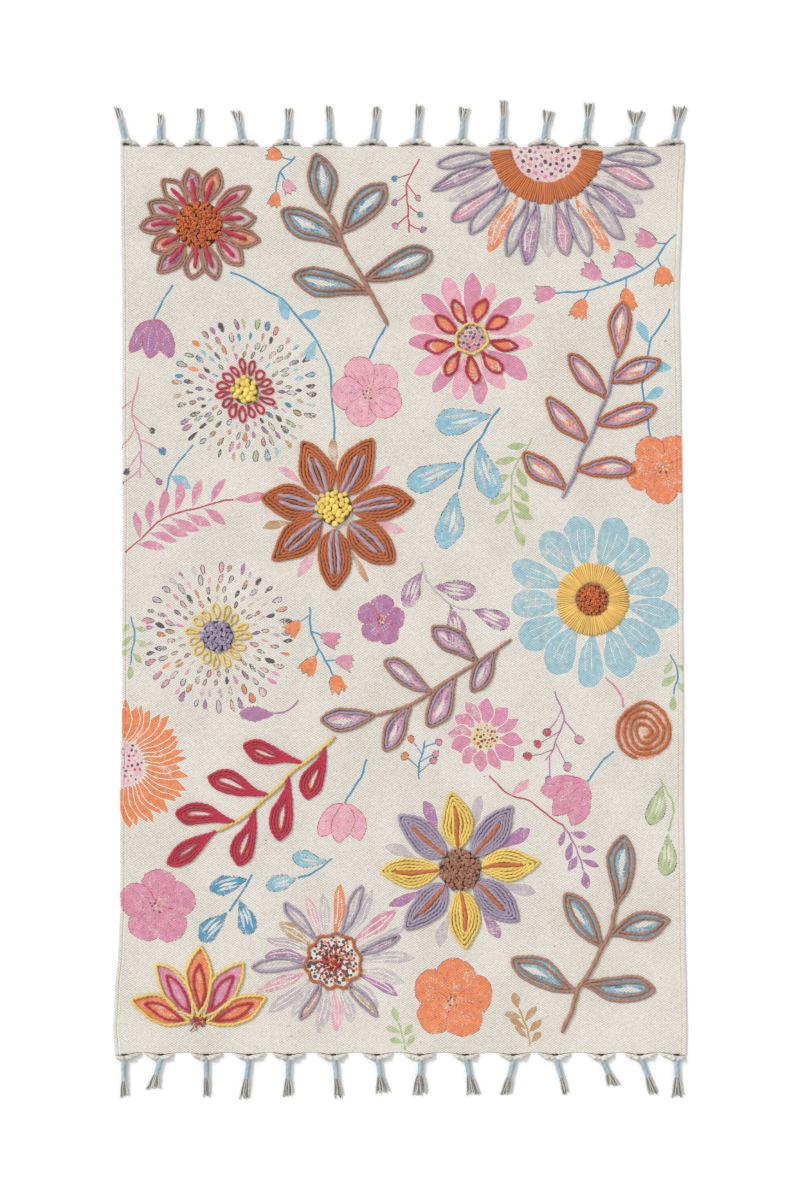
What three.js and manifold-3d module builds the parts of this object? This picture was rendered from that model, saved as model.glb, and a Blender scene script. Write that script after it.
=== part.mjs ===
// A flat-woven cotton rug with raised flower embroidery. Its warp ends are gathered into wrapped tassels.
// It lies flat. +Z is up, +Y runs along its length, and the origin lies under the middle of the whole rug.
// All sizes are in millimetres.
import * as THREE from "three";
import { mergeVertices } from "three/addons/utils/BufferGeometryUtils.js";
import Module from "manifold-3d";

const wasm = await Module();
wasm.setup();

// The cloth
const CLOTH_WIDTH = 914;
const CLOTH_LENGTH = 1474;
const CLOTH_THICKNESS = 2.6;
const EDGE_ROUND = 0.7;
const HEM_WIDTH = 6.5;
const HEM_RISE = 0.6;
const HEM_INSET = 0.9;
const SCALLOP = 5;
const SCALLOP_SHARPNESS = 1.6;
const SCALLOP_STEPS = 4;
const SEAT_GAP = 0.3;

// The tassels
const NECK_HALF_WIDTH = 4.7;
const NECK_HALF_HEIGHT = 3.9;
const NECK_SIDES = 8;
const NECK_STEPS = 2;
const NECK_BEND = 1.4;
const NECK_TAPER = 0.12;
const ARM_HALF_WIDTH = 4.2;
const ARM_TIP_HALF_WIDTH = 1.5;
const ARM_HALF_HEIGHT = 3.2;
const ARM_SHARE = 0.84;
const ARM_RIM = 0.6;
const ARM_SIDES = 6;
const ARM_STEPS = 2;
const STRAND_HALF = 1.35;
const STRAND_LIFT = 2.1;
const STRAND_SIDES = 4;
const STRAND_STEPS = 2;
const NARROW_COUNT = 5;
const WIDE_COUNT = 7;
const WIDE_FAN = 20;
const STRAND_ROOT = 3;
const STRAND_SHORT = 2;
const TOP_SEED = 1;
const BOTTOM_SEED = 51;
const SQUARE_TURN = Math.PI / 4;
const SQUARE_FLAT = Math.cos(SQUARE_TURN);

// A loose strand's course from the neck to its tip: shares of its length, of its spread and of its fall
// to the floor
const STRAND_COURSE = [
  { ahead: 0, aside: 0.3, fall: 0 },
  { ahead: 0.4, aside: 0.62, fall: 0.7 },
  { ahead: 0.72, aside: 0.9, fall: 1 },
  { ahead: 1, aside: 1, fall: 1 },
];

// How far each long side stands out from a straight line, left and right, at places along the rug
const SIDE_SWELL = [
  { along: 737, left: 2, right: 3 },
  { along: 650, left: 1, right: -1 },
  { along: 490, left: -1, right: -6 },
  { along: 325, left: -1, right: -3 },
  { along: 160, left: -2, right: -1 },
  { along: 0, left: -1, right: 0 },
  { along: -165, left: -1, right: 1 },
  { along: -325, left: 2, right: 1 },
  { along: -490, left: 2, right: 3 },
  { along: -570, left: 5, right: 4 },
  { along: -640, left: 11, right: 6 },
  { along: -700, left: 14, right: 7 },
  { along: -737, left: 11, right: 6 },
];

// Each tassel: where its root stands on the end, how far its tip leans, how far it reaches past the cloth,
// the length of its wrapped neck, and the width of its loose fan
const TOP_TASSELS = [
  { root: -450, lean: -14, reach: 65, neck: 40, fan: 12 },
  { root: -393, lean: -1, reach: 54, neck: 32, fan: 10 },
  { root: -334, lean: 5, reach: 62, neck: 36, fan: 12 },
  { root: -261, lean: -9, reach: 59, neck: 35, fan: 18 },
  { root: -189, lean: 5, reach: 63, neck: 38, fan: 13 },
  { root: -120, lean: 1, reach: 67, neck: 38, fan: 10 },
  { root: -49, lean: 8, reach: 65, neck: 38, fan: 12 },
  { root: 22, lean: 6, reach: 70, neck: 40, fan: 14 },
  { root: 94, lean: 7, reach: 65, neck: 40, fan: 17 },
  { root: 162, lean: 4, reach: 76, neck: 44, fan: 12 },
  { root: 230, lean: 8, reach: 60, neck: 35, fan: 20 },
  { root: 298, lean: 7, reach: 72, neck: 42, fan: 16 },
  { root: 373, lean: 10, reach: 60, neck: 33, fan: 31 },
  { root: 440, lean: 13, reach: 67, neck: 37, fan: 25 },
];
const BOTTOM_TASSELS = [
  { root: -452, lean: -1, reach: 74, neck: 42, fan: 15 },
  { root: -393, lean: -13, reach: 60, neck: 32, fan: 25 },
  { root: -319, lean: 1, reach: 73, neck: 36, fan: 14 },
  { root: -249, lean: -8, reach: 76, neck: 38, fan: 17 },
  { root: -184, lean: -3, reach: 72, neck: 38, fan: 17 },
  { root: -112, lean: 9, reach: 75, neck: 38, fan: 14 },
  { root: -41, lean: 10, reach: 67, neck: 34, fan: 22 },
  { root: 29, lean: 0, reach: 70, neck: 32, fan: 28 },
  { root: 103, lean: 13, reach: 70, neck: 34, fan: 24 },
  { root: 182, lean: -14, reach: 69, neck: 36, fan: 20 },
  { root: 249, lean: 18, reach: 68, neck: 36, fan: 12 },
  { root: 324, lean: 21, reach: 55, neck: 30, fan: 22 },
  { root: 388, lean: 22, reach: 68, neck: 34, fan: 18 },
  { root: 447, lean: 2, reach: 74, neck: 36, fan: 21 },
];

// The raised needlework: domes of yarn knots, petals filled with rows of cord, and rings of satin stitch.
// Angles are in degrees, from +X towards +Y.
const KNOT_DOMES = [
  { name: "knots_zinnia", x: -330, y: 610, radius: 42, rise: 9, colour: "#b3562c" },
  { name: "knots_red_dahlia", x: -255, y: 340, radius: 26, rise: 8, colour: "#d9ad4e" },
  { name: "knots_rust_cone", x: -110, y: 150, radius: 33, rise: 9, colour: "#dcb04c" },
  { name: "knots_blue_daisy", x: 310, y: 0, radius: 28, rise: 9, colour: "#a9512f" },
  { name: "knots_gold_dahlia", x: -300, y: -60, radius: 29, rise: 8, colour: "#8a7d98" },
  { name: "knots_gold_cone", x: 95, y: -440, radius: 37, rise: 10, colour: "#80594a" },
];
const RUST_CONE = { name: "petals_rust_cone", x: -110, y: 150, count: 7, turn: 12 };
const GOLD_CONE = { name: "petals_gold_cone", x: 95, y: -440, count: 8, turn: 5 };
const FILLED_PETALS = [
  { ...RUST_CONE, inner: 36, outer: 135, width: 60, colour: "#b0562f" },
  { ...GOLD_CONE, inner: 40, outer: 140, width: 52, colour: "#dfb14f" },
];
const SATIN_RINGS = [
  { name: "satin_half_daisy", x: 235, y: 737, inner: 58, outer: 92, from: 184, to: 356, colour: "#c0602c" },
  { name: "satin_blue_daisy", x: 310, y: 0, inner: 29.5, outer: 58, from: 0, to: 360, colour: "#dfb654" },
];
const PETAL_THICKNESS = 3;
const SATIN_THICKNESS = 2.6;
const PAD_ROUND = 0.8;
const PETAL_SIDE_POINTS = 4;
const PETAL_FULLNESS = 0.85;
const PETAL_TIP_POWER = 0.8;
const PETAL_ROOT = 4;
const PETAL_ROOT_STEP = 1;
const COLLAR_STEP = 2;
const COLLAR_WIDTH = 9;
const DOME_LUMPS = 7;
const DOME_LUMP_DEPTH = 0.05;
const DOME_POINTS_A_LUMP = 3;
const RING_POINTS = 28;
const HALF_RING_POINTS = 16;
const HOLE_MARGIN = 1;

// A dome's section, from its flat foot over its rim to its crown, as shares of its radius and its rise
const DOME_PROFILE = [
  { out: 0, up: 0 },
  { out: 0.96, up: 0 },
  { out: 1, up: 0.3 },
  { out: 0.86, up: 0.72 },
  { out: 0.52, up: 0.95 },
  { out: 0, up: 1 },
];

const CLOTH_COLOUR = "#dad6cc";
const TASSEL_COLOUR = "#b9c6cb";

function finish(colour) {
  return new THREE.MeshStandardMaterial({ color: colour, roughness: 0.95, metalness: 0 });
}

function asSolid(geometry) {
  const bare = geometry.clone();
  bare.deleteAttribute("normal");
  bare.deleteAttribute("uv");
  const merged = mergeVertices(bare, 1e-3);
  return new wasm.Manifold(
    new wasm.Mesh({
      numProp: 3,
      vertProperties: merged.attributes.position.array,
      triVerts: new Uint32Array(merged.index.array),
    }),
  );
}

function asGeometry(solid) {
  const mesh = solid.getMesh();
  const positions = new Float32Array(mesh.numVert * 3);
  for (let i = 0; i < mesh.numVert; i++) {
    positions.set(mesh.vertProperties.subarray(i * mesh.numProp, i * mesh.numProp + 3), i * 3);
  }
  const geometry = new THREE.BufferGeometry();
  geometry.setAttribute("position", new THREE.BufferAttribute(positions, 3));
  geometry.setIndex(new THREE.BufferAttribute(mesh.triVerts, 1));
  geometry.computeVertexNormals();
  return geometry;
}

function joined(geometries) {
  return asGeometry(geometries.map(asSolid).reduce((whole, next) => whole.add(next)));
}

function piece(name, geometry, colour) {
  const mesh = new THREE.Mesh(geometry, finish(colour));
  mesh.name = name;
  return mesh;
}

// Reads a column of the side table at any place along the rug, smoothly.
function sideSwell(column, along) {
  const last = SIDE_SWELL.length - 1;
  let row = SIDE_SWELL.findIndex((place) => place.along <= along);
  row = THREE.MathUtils.clamp(row < 0 ? last : row, 1, last);
  const above = SIDE_SWELL[row - 1];
  const below = SIDE_SWELL[row];
  const share = THREE.MathUtils.clamp((above.along - along) / (above.along - below.along), 0, 1);
  return THREE.MathUtils.lerp(above[column], below[column], THREE.MathUtils.smoothstep(share, 0, 1));
}

function leftSide(along, inset = 0) {
  return -CLOTH_WIDTH / 2 - sideSwell("left", along) + inset;
}

function rightSide(along, inset = 0) {
  return CLOTH_WIDTH / 2 + sideSwell("right", along) - inset;
}

// The warp ends pull each end of the cloth out at a tassel's root, and it hollows between two roots.
function endBulge(x, tassels) {
  const roots = tassels.map((tassel) => tassel.root);
  const nearest = roots.reduce((a, b) => (Math.abs(b - x) < Math.abs(a - x) ? b : a));
  const others = roots.filter((root) => (x - nearest) * (root - nearest) > 0);
  const next = others.length ? others.reduce((a, b) => (Math.abs(b - x) < Math.abs(a - x) ? b : a)) : null;
  const halfGap = next === null ? CLOTH_WIDTH / 2 : Math.abs(next - nearest) / 2;
  const share = Math.min(1, Math.abs(x - nearest) / halfGap);
  return SCALLOP * (1 - share) ** SCALLOP_SHARPNESS;
}

// The stations of one end, from left to right, with some between each two roots.
function endStations(tassels, end) {
  const corner = (end * CLOTH_LENGTH) / 2;
  const stops = [leftSide(corner), ...tassels.map((tassel) => tassel.root), rightSide(corner)];
  const stations = [];
  for (let i = 0; i + 1 < stops.length; i++) {
    const steps = i === 0 || i + 2 === stops.length ? 1 : SCALLOP_STEPS;
    for (let k = 0; k < steps; k++) {
      stations.push(THREE.MathUtils.lerp(stops[i], stops[i + 1], k / steps));
    }
  }
  stations.push(stops[stops.length - 1]);
  return stations;
}

function endLine(tassels, end) {
  return endStations(tassels, end).map(
    (x) => new THREE.Vector2(x, end * (CLOTH_LENGTH / 2 + endBulge(x, tassels))),
  );
}

function slab(outline, bottom, thickness, round) {
  const depth = thickness - 2 * round;
  const geometry = new THREE.ExtrudeGeometry(new THREE.Shape(outline), {
    depth,
    bevelEnabled: true,
    bevelThickness: round,
    bevelSize: round,
    bevelOffset: -round,
    bevelSegments: 1,
    steps: 1,
  });
  geometry.translate(0, 0, bottom + round);
  return geometry;
}

// The cloth, with a turned hem that stands a little higher along each long side.
function clothGeometry() {
  const between = SIDE_SWELL.slice(1, -1).map((place) => place.along);
  const bottomLine = endLine(BOTTOM_TASSELS, -1);
  const topLine = endLine(TOP_TASSELS, 1).reverse();
  const rightLine = [...between].reverse().map((along) => new THREE.Vector2(rightSide(along), along));
  const leftLine = between.map((along) => new THREE.Vector2(leftSide(along), along));
  const outline = [...bottomLine, ...rightLine, ...topLine, ...leftLine];
  const field = slab(outline, 0, CLOTH_THICKNESS, EDGE_ROUND);
  const stations = [CLOTH_LENGTH / 2 - HEM_INSET, ...between, -CLOTH_LENGTH / 2 + HEM_INSET];
  const hems = [leftSide, rightSide].map((side) => {
    const outer = stations.map((along) => new THREE.Vector2(side(along, HEM_INSET), along));
    const inner = stations.map((along) => new THREE.Vector2(side(along, HEM_WIDTH), along)).reverse();
    return slab([...outer, ...inner], CLOTH_THICKNESS / 2, CLOTH_THICKNESS / 2 + HEM_RISE, EDGE_ROUND / 2);
  });
  return joined([field, ...hems]);
}

// A closed bar that follows a curve: sizes give its half width and half height at a share of its length.
function bar(points, sizes, sides, steps, turn = 0) {
  const curve = new THREE.CatmullRomCurve3(points);
  const geometry = new THREE.CylinderGeometry(1, 1, 1, sides, steps, false, turn);
  const position = geometry.attributes.position;
  const up = new THREE.Vector3(0, 0, 1);
  for (let i = 0; i < position.count; i++) {
    const share = position.getY(i) + 0.5;
    const centre = curve.getPoint(share);
    const ahead = curve.getTangent(share);
    const side = ahead.clone().cross(up).normalize();
    const lift = side.clone().cross(ahead);
    const [halfWidth, halfHeight] = sizes(share);
    centre.addScaledVector(side, position.getX(i) * halfWidth);
    centre.addScaledVector(lift, position.getZ(i) * halfHeight);
    position.setXYZ(i, centre.x, centre.y, centre.z);
  }
  return geometry;
}

// A repeatable small number from -1 to 1, so that like strands differ a little.
function stray(seed) {
  const value = Math.sin(seed * 12.9898) * 43758.5453;
  return 2 * (value - Math.floor(value)) - 1;
}

// The warp ends run along the cloth's edge from both sides and meet at the tassel's root.
function tasselArm(row, tassels, end, direction) {
  const gaps = tassels.map((tassel) => (tassel.root - row.root) * direction).filter((gap) => gap > 0);
  const corner = direction > 0 ? rightSide((end * CLOTH_LENGTH) / 2) : leftSide((end * CLOTH_LENGTH) / 2);
  const toCorner = (corner - row.root) * direction - ARM_TIP_HALF_WIDTH;
  const reach = gaps.length ? (Math.min(...gaps) / 2) * ARM_SHARE : toCorner;
  const place = (share) => {
    const x = row.root + direction * reach * share;
    const halfWidth = THREE.MathUtils.lerp(ARM_HALF_WIDTH, ARM_TIP_HALF_WIDTH, share);
    const edge = CLOTH_LENGTH / 2 + endBulge(x, tassels);
    return new THREE.Vector3(x, end * (edge + ARM_RIM + halfWidth), ARM_HALF_HEIGHT);
  };
  const sizes = (share) => [
    THREE.MathUtils.lerp(ARM_HALF_WIDTH, ARM_TIP_HALF_WIDTH, share),
    THREE.MathUtils.lerp(ARM_HALF_HEIGHT, ARM_TIP_HALF_WIDTH, share),
  ];
  return bar([0, 0.5, 1].map(place), sizes, ARM_SIDES, ARM_STEPS);
}

function tasselGeometry(row, tassels, end, number) {
  const start = CLOTH_LENGTH / 2 + SCALLOP + ARM_RIM;
  const finishLine = CLOTH_LENGTH / 2 + row.reach;
  const slope = row.lean / (finishLine - start);
  const at = (ahead, aside, height) =>
    new THREE.Vector3(row.root + slope * ahead + aside, end * (start + ahead), height);
  const neck = bar(
    [
      at(NECK_HALF_WIDTH / 2, 0, NECK_HALF_HEIGHT),
      at(row.neck / 2, NECK_BEND * stray(number), NECK_HALF_HEIGHT),
      at(row.neck, 0, NECK_HALF_HEIGHT),
    ],
    (share) => [NECK_HALF_WIDTH * (1 - NECK_TAPER * share), NECK_HALF_HEIGHT * (1 - NECK_TAPER * share)],
    NECK_SIDES,
    NECK_STEPS,
  );
  const count = row.fan > WIDE_FAN ? WIDE_COUNT : NARROW_COUNT;
  const tipAhead = finishLine - start;
  const strands = Array.from({ length: count }, (_, k) => {
    const across = (k / (count - 1)) * 2 - 1;
    const upper = row.fan <= WIDE_FAN && k % 2 === 1;
    const tipHeight = STRAND_HALF * SQUARE_FLAT + (upper ? STRAND_LIFT : 0);
    const rootHeight = NECK_HALF_HEIGHT + (upper ? STRAND_LIFT : -STRAND_LIFT) / 2;
    const tip = tipAhead - (k === 0 ? 0 : STRAND_SHORT * (1 + stray(number * WIDE_COUNT + k)));
    const spread = (row.fan / 2 - STRAND_HALF) * across;
    return bar(
      STRAND_COURSE.map((place) =>
        at(
          THREE.MathUtils.lerp(row.neck - STRAND_ROOT, tip, place.ahead),
          spread * place.aside,
          THREE.MathUtils.lerp(rootHeight, tipHeight, place.fall),
        ),
      ),
      () => [STRAND_HALF, STRAND_HALF],
      STRAND_SIDES,
      STRAND_STEPS,
      SQUARE_TURN,
    );
  });
  const arms = [-1, 1].map((direction) => tasselArm(row, tassels, end, direction));
  return joined([neck, ...arms, ...strands]);
}

// A low dome of knots with a lumpy rim and a flat foot.
function domeGeometry(row) {
  const { radius, rise } = row;
  const profile = DOME_PROFILE.map((place) => new THREE.Vector2(place.out * radius, place.up * rise));
  const geometry = new THREE.LatheGeometry(profile, DOME_POINTS_A_LUMP * DOME_LUMPS);
  geometry.rotateX(Math.PI / 2);
  const position = geometry.attributes.position;
  for (let i = 0; i < position.count; i++) {
    const angle = Math.atan2(position.getY(i), position.getX(i));
    const lump = 1 - DOME_LUMP_DEPTH * (1 + Math.cos(angle * DOME_LUMPS)) * 0.5;
    position.setXYZ(i, position.getX(i) * lump, position.getY(i) * lump, position.getZ(i));
  }
  geometry.translate(row.x, row.y, CLOTH_THICKNESS + SEAT_GAP);
  return geometry;
}

// One petal's outline, widest past its middle, with its root towards the flower's centre.
function petalOutline(row, turn) {
  const start = row.inner - PETAL_ROOT_STEP;
  const length = row.outer - start;
  const half = (share) => (row.width / 2) * Math.sin(Math.PI * share ** PETAL_FULLNESS) ** PETAL_TIP_POWER;
  const shares = Array.from({ length: PETAL_SIDE_POINTS }, (_, k) => (k + 1) / (PETAL_SIDE_POINTS + 1));
  const right = shares.map((share) => new THREE.Vector2(start + share * length, -half(share)));
  const left = shares.map((share) => new THREE.Vector2(start + share * length, half(share))).reverse();
  const outline = [
    new THREE.Vector2(start, -PETAL_ROOT),
    ...right,
    new THREE.Vector2(start + length, 0),
    ...left,
    new THREE.Vector2(start, PETAL_ROOT),
  ];
  const centre = new THREE.Vector2();
  return outline.map((point) => point.rotateAround(centre, turn).add(new THREE.Vector2(row.x, row.y)));
}

function circleOutline(row, radius, from, to, points) {
  return Array.from({ length: points + 1 }, (_, k) => {
    const angle = THREE.MathUtils.degToRad(THREE.MathUtils.lerp(from, to, k / points));
    return new THREE.Vector2(row.x + radius * Math.cos(angle), row.y + radius * Math.sin(angle));
  });
}

function petalsGeometry(row) {
  const bottom = CLOTH_THICKNESS + SEAT_GAP;
  const petals = Array.from({ length: row.count }, (_, k) => {
    const turn = THREE.MathUtils.degToRad(row.turn) + (k / row.count) * 2 * Math.PI;
    return slab(petalOutline(row, turn), bottom, PETAL_THICKNESS, PAD_ROUND);
  });
  const inner = row.inner - COLLAR_STEP;
  const collar = ringGeometry({ ...row, inner, outer: inner + COLLAR_WIDTH, from: 0, to: 360 });
  return joined([collar, ...petals]);
}

// A full or part ring of satin stitch, as a pad of one thickness.
function ringGeometry(row) {
  const bottom = CLOTH_THICKNESS + SEAT_GAP;
  const full = row.to - row.from === 360;
  const points = full ? RING_POINTS : HALF_RING_POINTS;
  const outer = circleOutline(row, row.outer, row.from, row.to, points);
  const inner = circleOutline(row, row.inner, row.from, row.to, points);
  if (!full) {
    return slab([...outer, ...inner.reverse()], bottom, SATIN_THICKNESS, PAD_ROUND);
  }
  const disc = slab(outer.slice(0, -1), bottom, SATIN_THICKNESS, PAD_ROUND);
  const hole = new THREE.ExtrudeGeometry(new THREE.Shape(inner.slice(0, -1)), {
    depth: SATIN_THICKNESS + 2 * HOLE_MARGIN,
    bevelEnabled: false,
  });
  hole.translate(0, 0, bottom - HOLE_MARGIN);
  return asGeometry(asSolid(disc).subtract(asSolid(hole)));
}

const rug = new THREE.Group();
rug.add(piece("rug_cloth", clothGeometry(), CLOTH_COLOUR));

const ENDS = [
  { name: "top", end: 1, tassels: TOP_TASSELS, seed: TOP_SEED },
  { name: "bottom", end: -1, tassels: BOTTOM_TASSELS, seed: BOTTOM_SEED },
];
for (const { name, end, tassels, seed } of ENDS) {
  tassels.forEach((row, i) => {
    const label = String(i + 1).padStart(2, "0");
    rug.add(piece(`tassel_${name}_${label}`, tasselGeometry(row, tassels, end, seed + i), TASSEL_COLOUR));
  });
}
for (const row of KNOT_DOMES) {
  rug.add(piece(row.name, domeGeometry(row), row.colour));
}
for (const row of FILLED_PETALS) {
  rug.add(piece(row.name, petalsGeometry(row), row.colour));
}
for (const row of SATIN_RINGS) {
  rug.add(piece(row.name, ringGeometry(row), row.colour));
}

// The origin is put under the middle of the whole rug, tassels too.
const wholeBox = new THREE.Box3().setFromObject(rug);
const middle = wholeBox.getCenter(new THREE.Vector3());
rug.position.set(-middle.x, -middle.y, -wholeBox.min.z);

export default rug;
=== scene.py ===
# %% [markdown]
# A flat-woven cotton rug with raised flowers.
#
# The real rug is one length of plain-woven cotton. Flowers are block printed on it in thin, worn ink.
# Woolly cords are then sewn down round some of them, petals are filled with cord in rows, and flower
# centres are packed with knots. The warp ends are gathered into wrapped tassels.
#
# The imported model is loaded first. It is the fixed frame: it says where the cloth, the tassels and the
# raised flower parts lie. Nothing in it is moved here, and each fine piece below takes the place of a
# plain one.

# %% Load the frame
import math

import bmesh
import bpy
import numpy as np
from mathutils import Matrix, Vector
from mathutils.geometry import delaunay_2d_cdt


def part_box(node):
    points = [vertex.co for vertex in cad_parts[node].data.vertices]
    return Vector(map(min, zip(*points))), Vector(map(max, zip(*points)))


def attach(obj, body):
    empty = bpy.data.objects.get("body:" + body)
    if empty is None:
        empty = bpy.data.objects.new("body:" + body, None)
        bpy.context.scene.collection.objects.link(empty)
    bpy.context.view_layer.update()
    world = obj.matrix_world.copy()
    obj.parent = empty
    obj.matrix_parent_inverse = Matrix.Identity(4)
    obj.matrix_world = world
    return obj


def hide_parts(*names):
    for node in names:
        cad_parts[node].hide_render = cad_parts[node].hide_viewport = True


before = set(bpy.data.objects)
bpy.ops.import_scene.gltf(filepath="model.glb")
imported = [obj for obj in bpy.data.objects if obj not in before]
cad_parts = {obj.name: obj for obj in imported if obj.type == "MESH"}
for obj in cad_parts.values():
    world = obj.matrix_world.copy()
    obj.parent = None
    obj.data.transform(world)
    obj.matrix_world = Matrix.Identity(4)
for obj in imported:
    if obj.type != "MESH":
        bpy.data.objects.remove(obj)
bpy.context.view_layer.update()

MM = 0.001
print("nodes in the frame:", len(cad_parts))

# %% [markdown]
# The cloth's own sizes.
#
# The drawing below is made in millimetres from the middle of the cloth, as a weaver would mark it out.
# The frame's origin is under the middle of the whole rug, so the two differ by a small shift. It can be
# read from the cloth's box, because the cloth's farthest points are known from the table of its sides.

# %% Sizes of the cloth
CLOTH_WIDTH = 914
CLOTH_LENGTH = 1474
CLOTH_TOP = 2.6
SCALLOP = 5
SCALLOP_SHARPNESS = 1.6

# How far each long side stands out from a straight line at places along the rug: along, left, right
SIDE_SWELL = np.array([
    (737, 2, 3), (650, 1, -1), (490, -1, -6), (325, -1, -3), (160, -2, -1), (0, -1, 0), (-165, -1, 1),
    (-325, 2, 1), (-490, 2, 3), (-570, 5, 4), (-640, 11, 6), (-700, 14, 7), (-737, 11, 6),
], float)

cloth_low, cloth_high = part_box("rug_cloth")
SHIFT_X = cloth_low[0] / MM + CLOTH_WIDTH / 2 + SIDE_SWELL[:, 1].max()
SHIFT_Y = cloth_low[1] / MM + CLOTH_LENGTH / 2 + SCALLOP
print("shift from the drawing to the frame, mm:", round(SHIFT_X, 2), round(SHIFT_Y, 2))


def to_frame(points):
    """Points of the drawing, in millimetres, as metres in the frame."""
    points = np.asarray(points, float)
    return (points + np.array([SHIFT_X, SHIFT_Y, 0.0])) * MM


def spot(node):
    """The centre and the outer radius of a round CAD node, in the drawing's millimetres."""
    low, high = (np.array(corner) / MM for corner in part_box(node))
    centre = (low + high) / 2
    return centre[0] - SHIFT_X, centre[1] - SHIFT_Y, (high[0] - low[0]) / 2


# %% [markdown]
# The tassels' sizes.
#
# No two tassels hang alike, so a table gives each one: where its root is on the cloth's end, how far its
# tip leans to the side, how far it reaches past the cloth, how long its wrapped neck is and how wide its
# fan is.

# %% Table of the tassels
TASSEL_COLUMNS = ("root", "lean", "reach", "neck", "fan")
TOP_TASSELS = [
    (-450, -14, 65, 40, 12), (-393, -1, 54, 32, 10), (-334, 5, 62, 36, 12), (-261, -9, 59, 35, 18),
    (-189, 5, 63, 38, 13), (-120, 1, 67, 38, 10), (-49, 8, 65, 38, 12), (22, 6, 70, 40, 14),
    (94, 7, 65, 40, 17), (162, 4, 76, 44, 12), (230, 8, 60, 35, 20), (298, 7, 72, 42, 16),
    (373, 10, 60, 33, 31), (440, 13, 67, 37, 25),
]
BOTTOM_TASSELS = [
    (-452, -1, 74, 42, 15), (-393, -13, 60, 32, 25), (-319, 1, 73, 36, 14), (-249, -8, 76, 38, 17),
    (-184, -3, 72, 38, 17), (-112, 9, 75, 38, 14), (-41, 10, 67, 34, 22), (29, 0, 70, 32, 28),
    (103, 13, 70, 34, 24), (182, -14, 69, 36, 20), (249, 18, 68, 36, 12), (324, 21, 55, 30, 22),
    (388, 22, 68, 34, 18), (447, 2, 74, 36, 21),
]
ENDS = {
    "top": (1, [dict(zip(TASSEL_COLUMNS, row)) for row in TOP_TASSELS]),
    "bottom": (-1, [dict(zip(TASSEL_COLUMNS, row)) for row in BOTTOM_TASSELS]),
}
print("tassels:", sum(len(rows) for end, rows in ENDS.values()))

# %% [markdown]
# The camera looks straight down, as at a rug photographed from a gantry.
#
# A long lens far away would also do, but a distance of a few metres keeps the slight perspective of a
# real picture. The picture is taller than wide, so the sensor's long side is its height.

# %% Camera
PICTURE_HEIGHT = 1955 * MM
CAMERA_HEIGHT = 4.5
SENSOR = 36
CAMERA_OFFSET = (-3.3, -0.8, 0)

camera = bpy.data.objects.new("camera", bpy.data.cameras.new("camera"))
bpy.context.scene.collection.objects.link(camera)
camera.data.sensor_width = SENSOR
camera.data.lens = SENSOR * CAMERA_HEIGHT / PICTURE_HEIGHT
camera.location = to_frame(CAMERA_OFFSET) + np.array([0, 0, CAMERA_HEIGHT])
bpy.context.scene.camera = camera
print("lens, mm:", round(camera.data.lens, 1))

# %% [markdown]
# The floor and the light.
#
# The rug lies on a plain white floor. A broad soft light from the upper left draws a small shadow beside
# each cord, and an even white sky fills the rest. The light is a sun with a wide disc, so that it is as
# strong at one corner of the rug as at the other.

# %% Floor and light
FLOOR_SIZE = 14
FLOOR_GAP = 0.0004
SUN_STRENGTH = 1.75
SUN_DISC = 16
SUN_HEADING = (1.0, -0.85, -1.05)
SKY_STRENGTH = 0.68


def deselect():
    for thing in bpy.context.selected_objects:
        thing.select_set(False)


deselect()
bpy.ops.mesh.primitive_plane_add(size=FLOOR_SIZE, location=(0, 0, -FLOOR_GAP))
floor = bpy.context.object
floor.name = "floor"
bpy.ops.object.transform_apply()

sun = bpy.data.objects.new("sun", bpy.data.lights.new("sun", "SUN"))
bpy.context.scene.collection.objects.link(sun)
sun.data.energy = SUN_STRENGTH
sun.data.angle = math.radians(SUN_DISC)
sun.rotation_euler = Vector(SUN_HEADING).to_track_quat("-Z", "Y").to_euler()

sky = bpy.data.worlds.new("studio")
bpy.context.scene.world = sky
sky.use_nodes = True
sky.node_tree.nodes["Background"].inputs["Color"].default_value = (1, 1, 1, 1)
sky.node_tree.nodes["Background"].inputs["Strength"].default_value = SKY_STRENGTH
bpy.context.scene.view_settings.view_transform = "Standard"
print("sun from the upper left, disc of", SUN_DISC, "degrees")

# %% [markdown]
# Dyes and inks.
#
# The yarn dyes are warm and strong: rust, mustard, crimson, lilac and a milky brown. The printing inks
# are the same family, thinner and paler. Each is written as a hexadecimal code and turned into light
# values once.

# %% Colours
DYES = {
    "rust": "d0784c", "mustard": "ffdc78", "crimson": "d2425a", "lilac": "b8a9be", "mocha": "be8c77",
    "cream": "f0ece2", "grey": "c8c4ba", "shade": "5c5248", "pale_blue": "c2d6de", "gold_satin": "f8cc74",
    "rust_satin": "dc8250", "rust_knots": "dc7440", "yellow_knots": "ffdc70", "lilac_knots": "b2a2bc",
    "mocha_knots": "b68068",
}
INKS = {
    "sky": "88bccf", "teal": "4692b6", "pink": "d68aa6", "rose": "e6a6b8", "mauve": "ad74a2",
    "orange": "e88450", "tan": "bd9468", "sage": "b0bd8a", "grey": "c0b4ba", "charcoal": "4c474e",
    "crimson": "c4405c", "pale": "9cc0ca", "mustard": "e6bc58", "white": "e6e1d6", "rust": "b4582e",
    "lilac": "a094b4",
}


def light_values(code):
    """A hexadecimal colour as three linear light values."""
    values = np.array([int(code[i:i + 2], 16) / 255 for i in (0, 2, 4)])
    return np.where(values > 0.04045, ((values + 0.055) / 1.055) ** 2.4, values / 12.92)


dye_light = {name: light_values(code) for name, code in DYES.items()}
ink_light = {name: light_values(code) for name, code in INKS.items()}
print("dyes:", len(dye_light), "inks:", len(ink_light))

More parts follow.
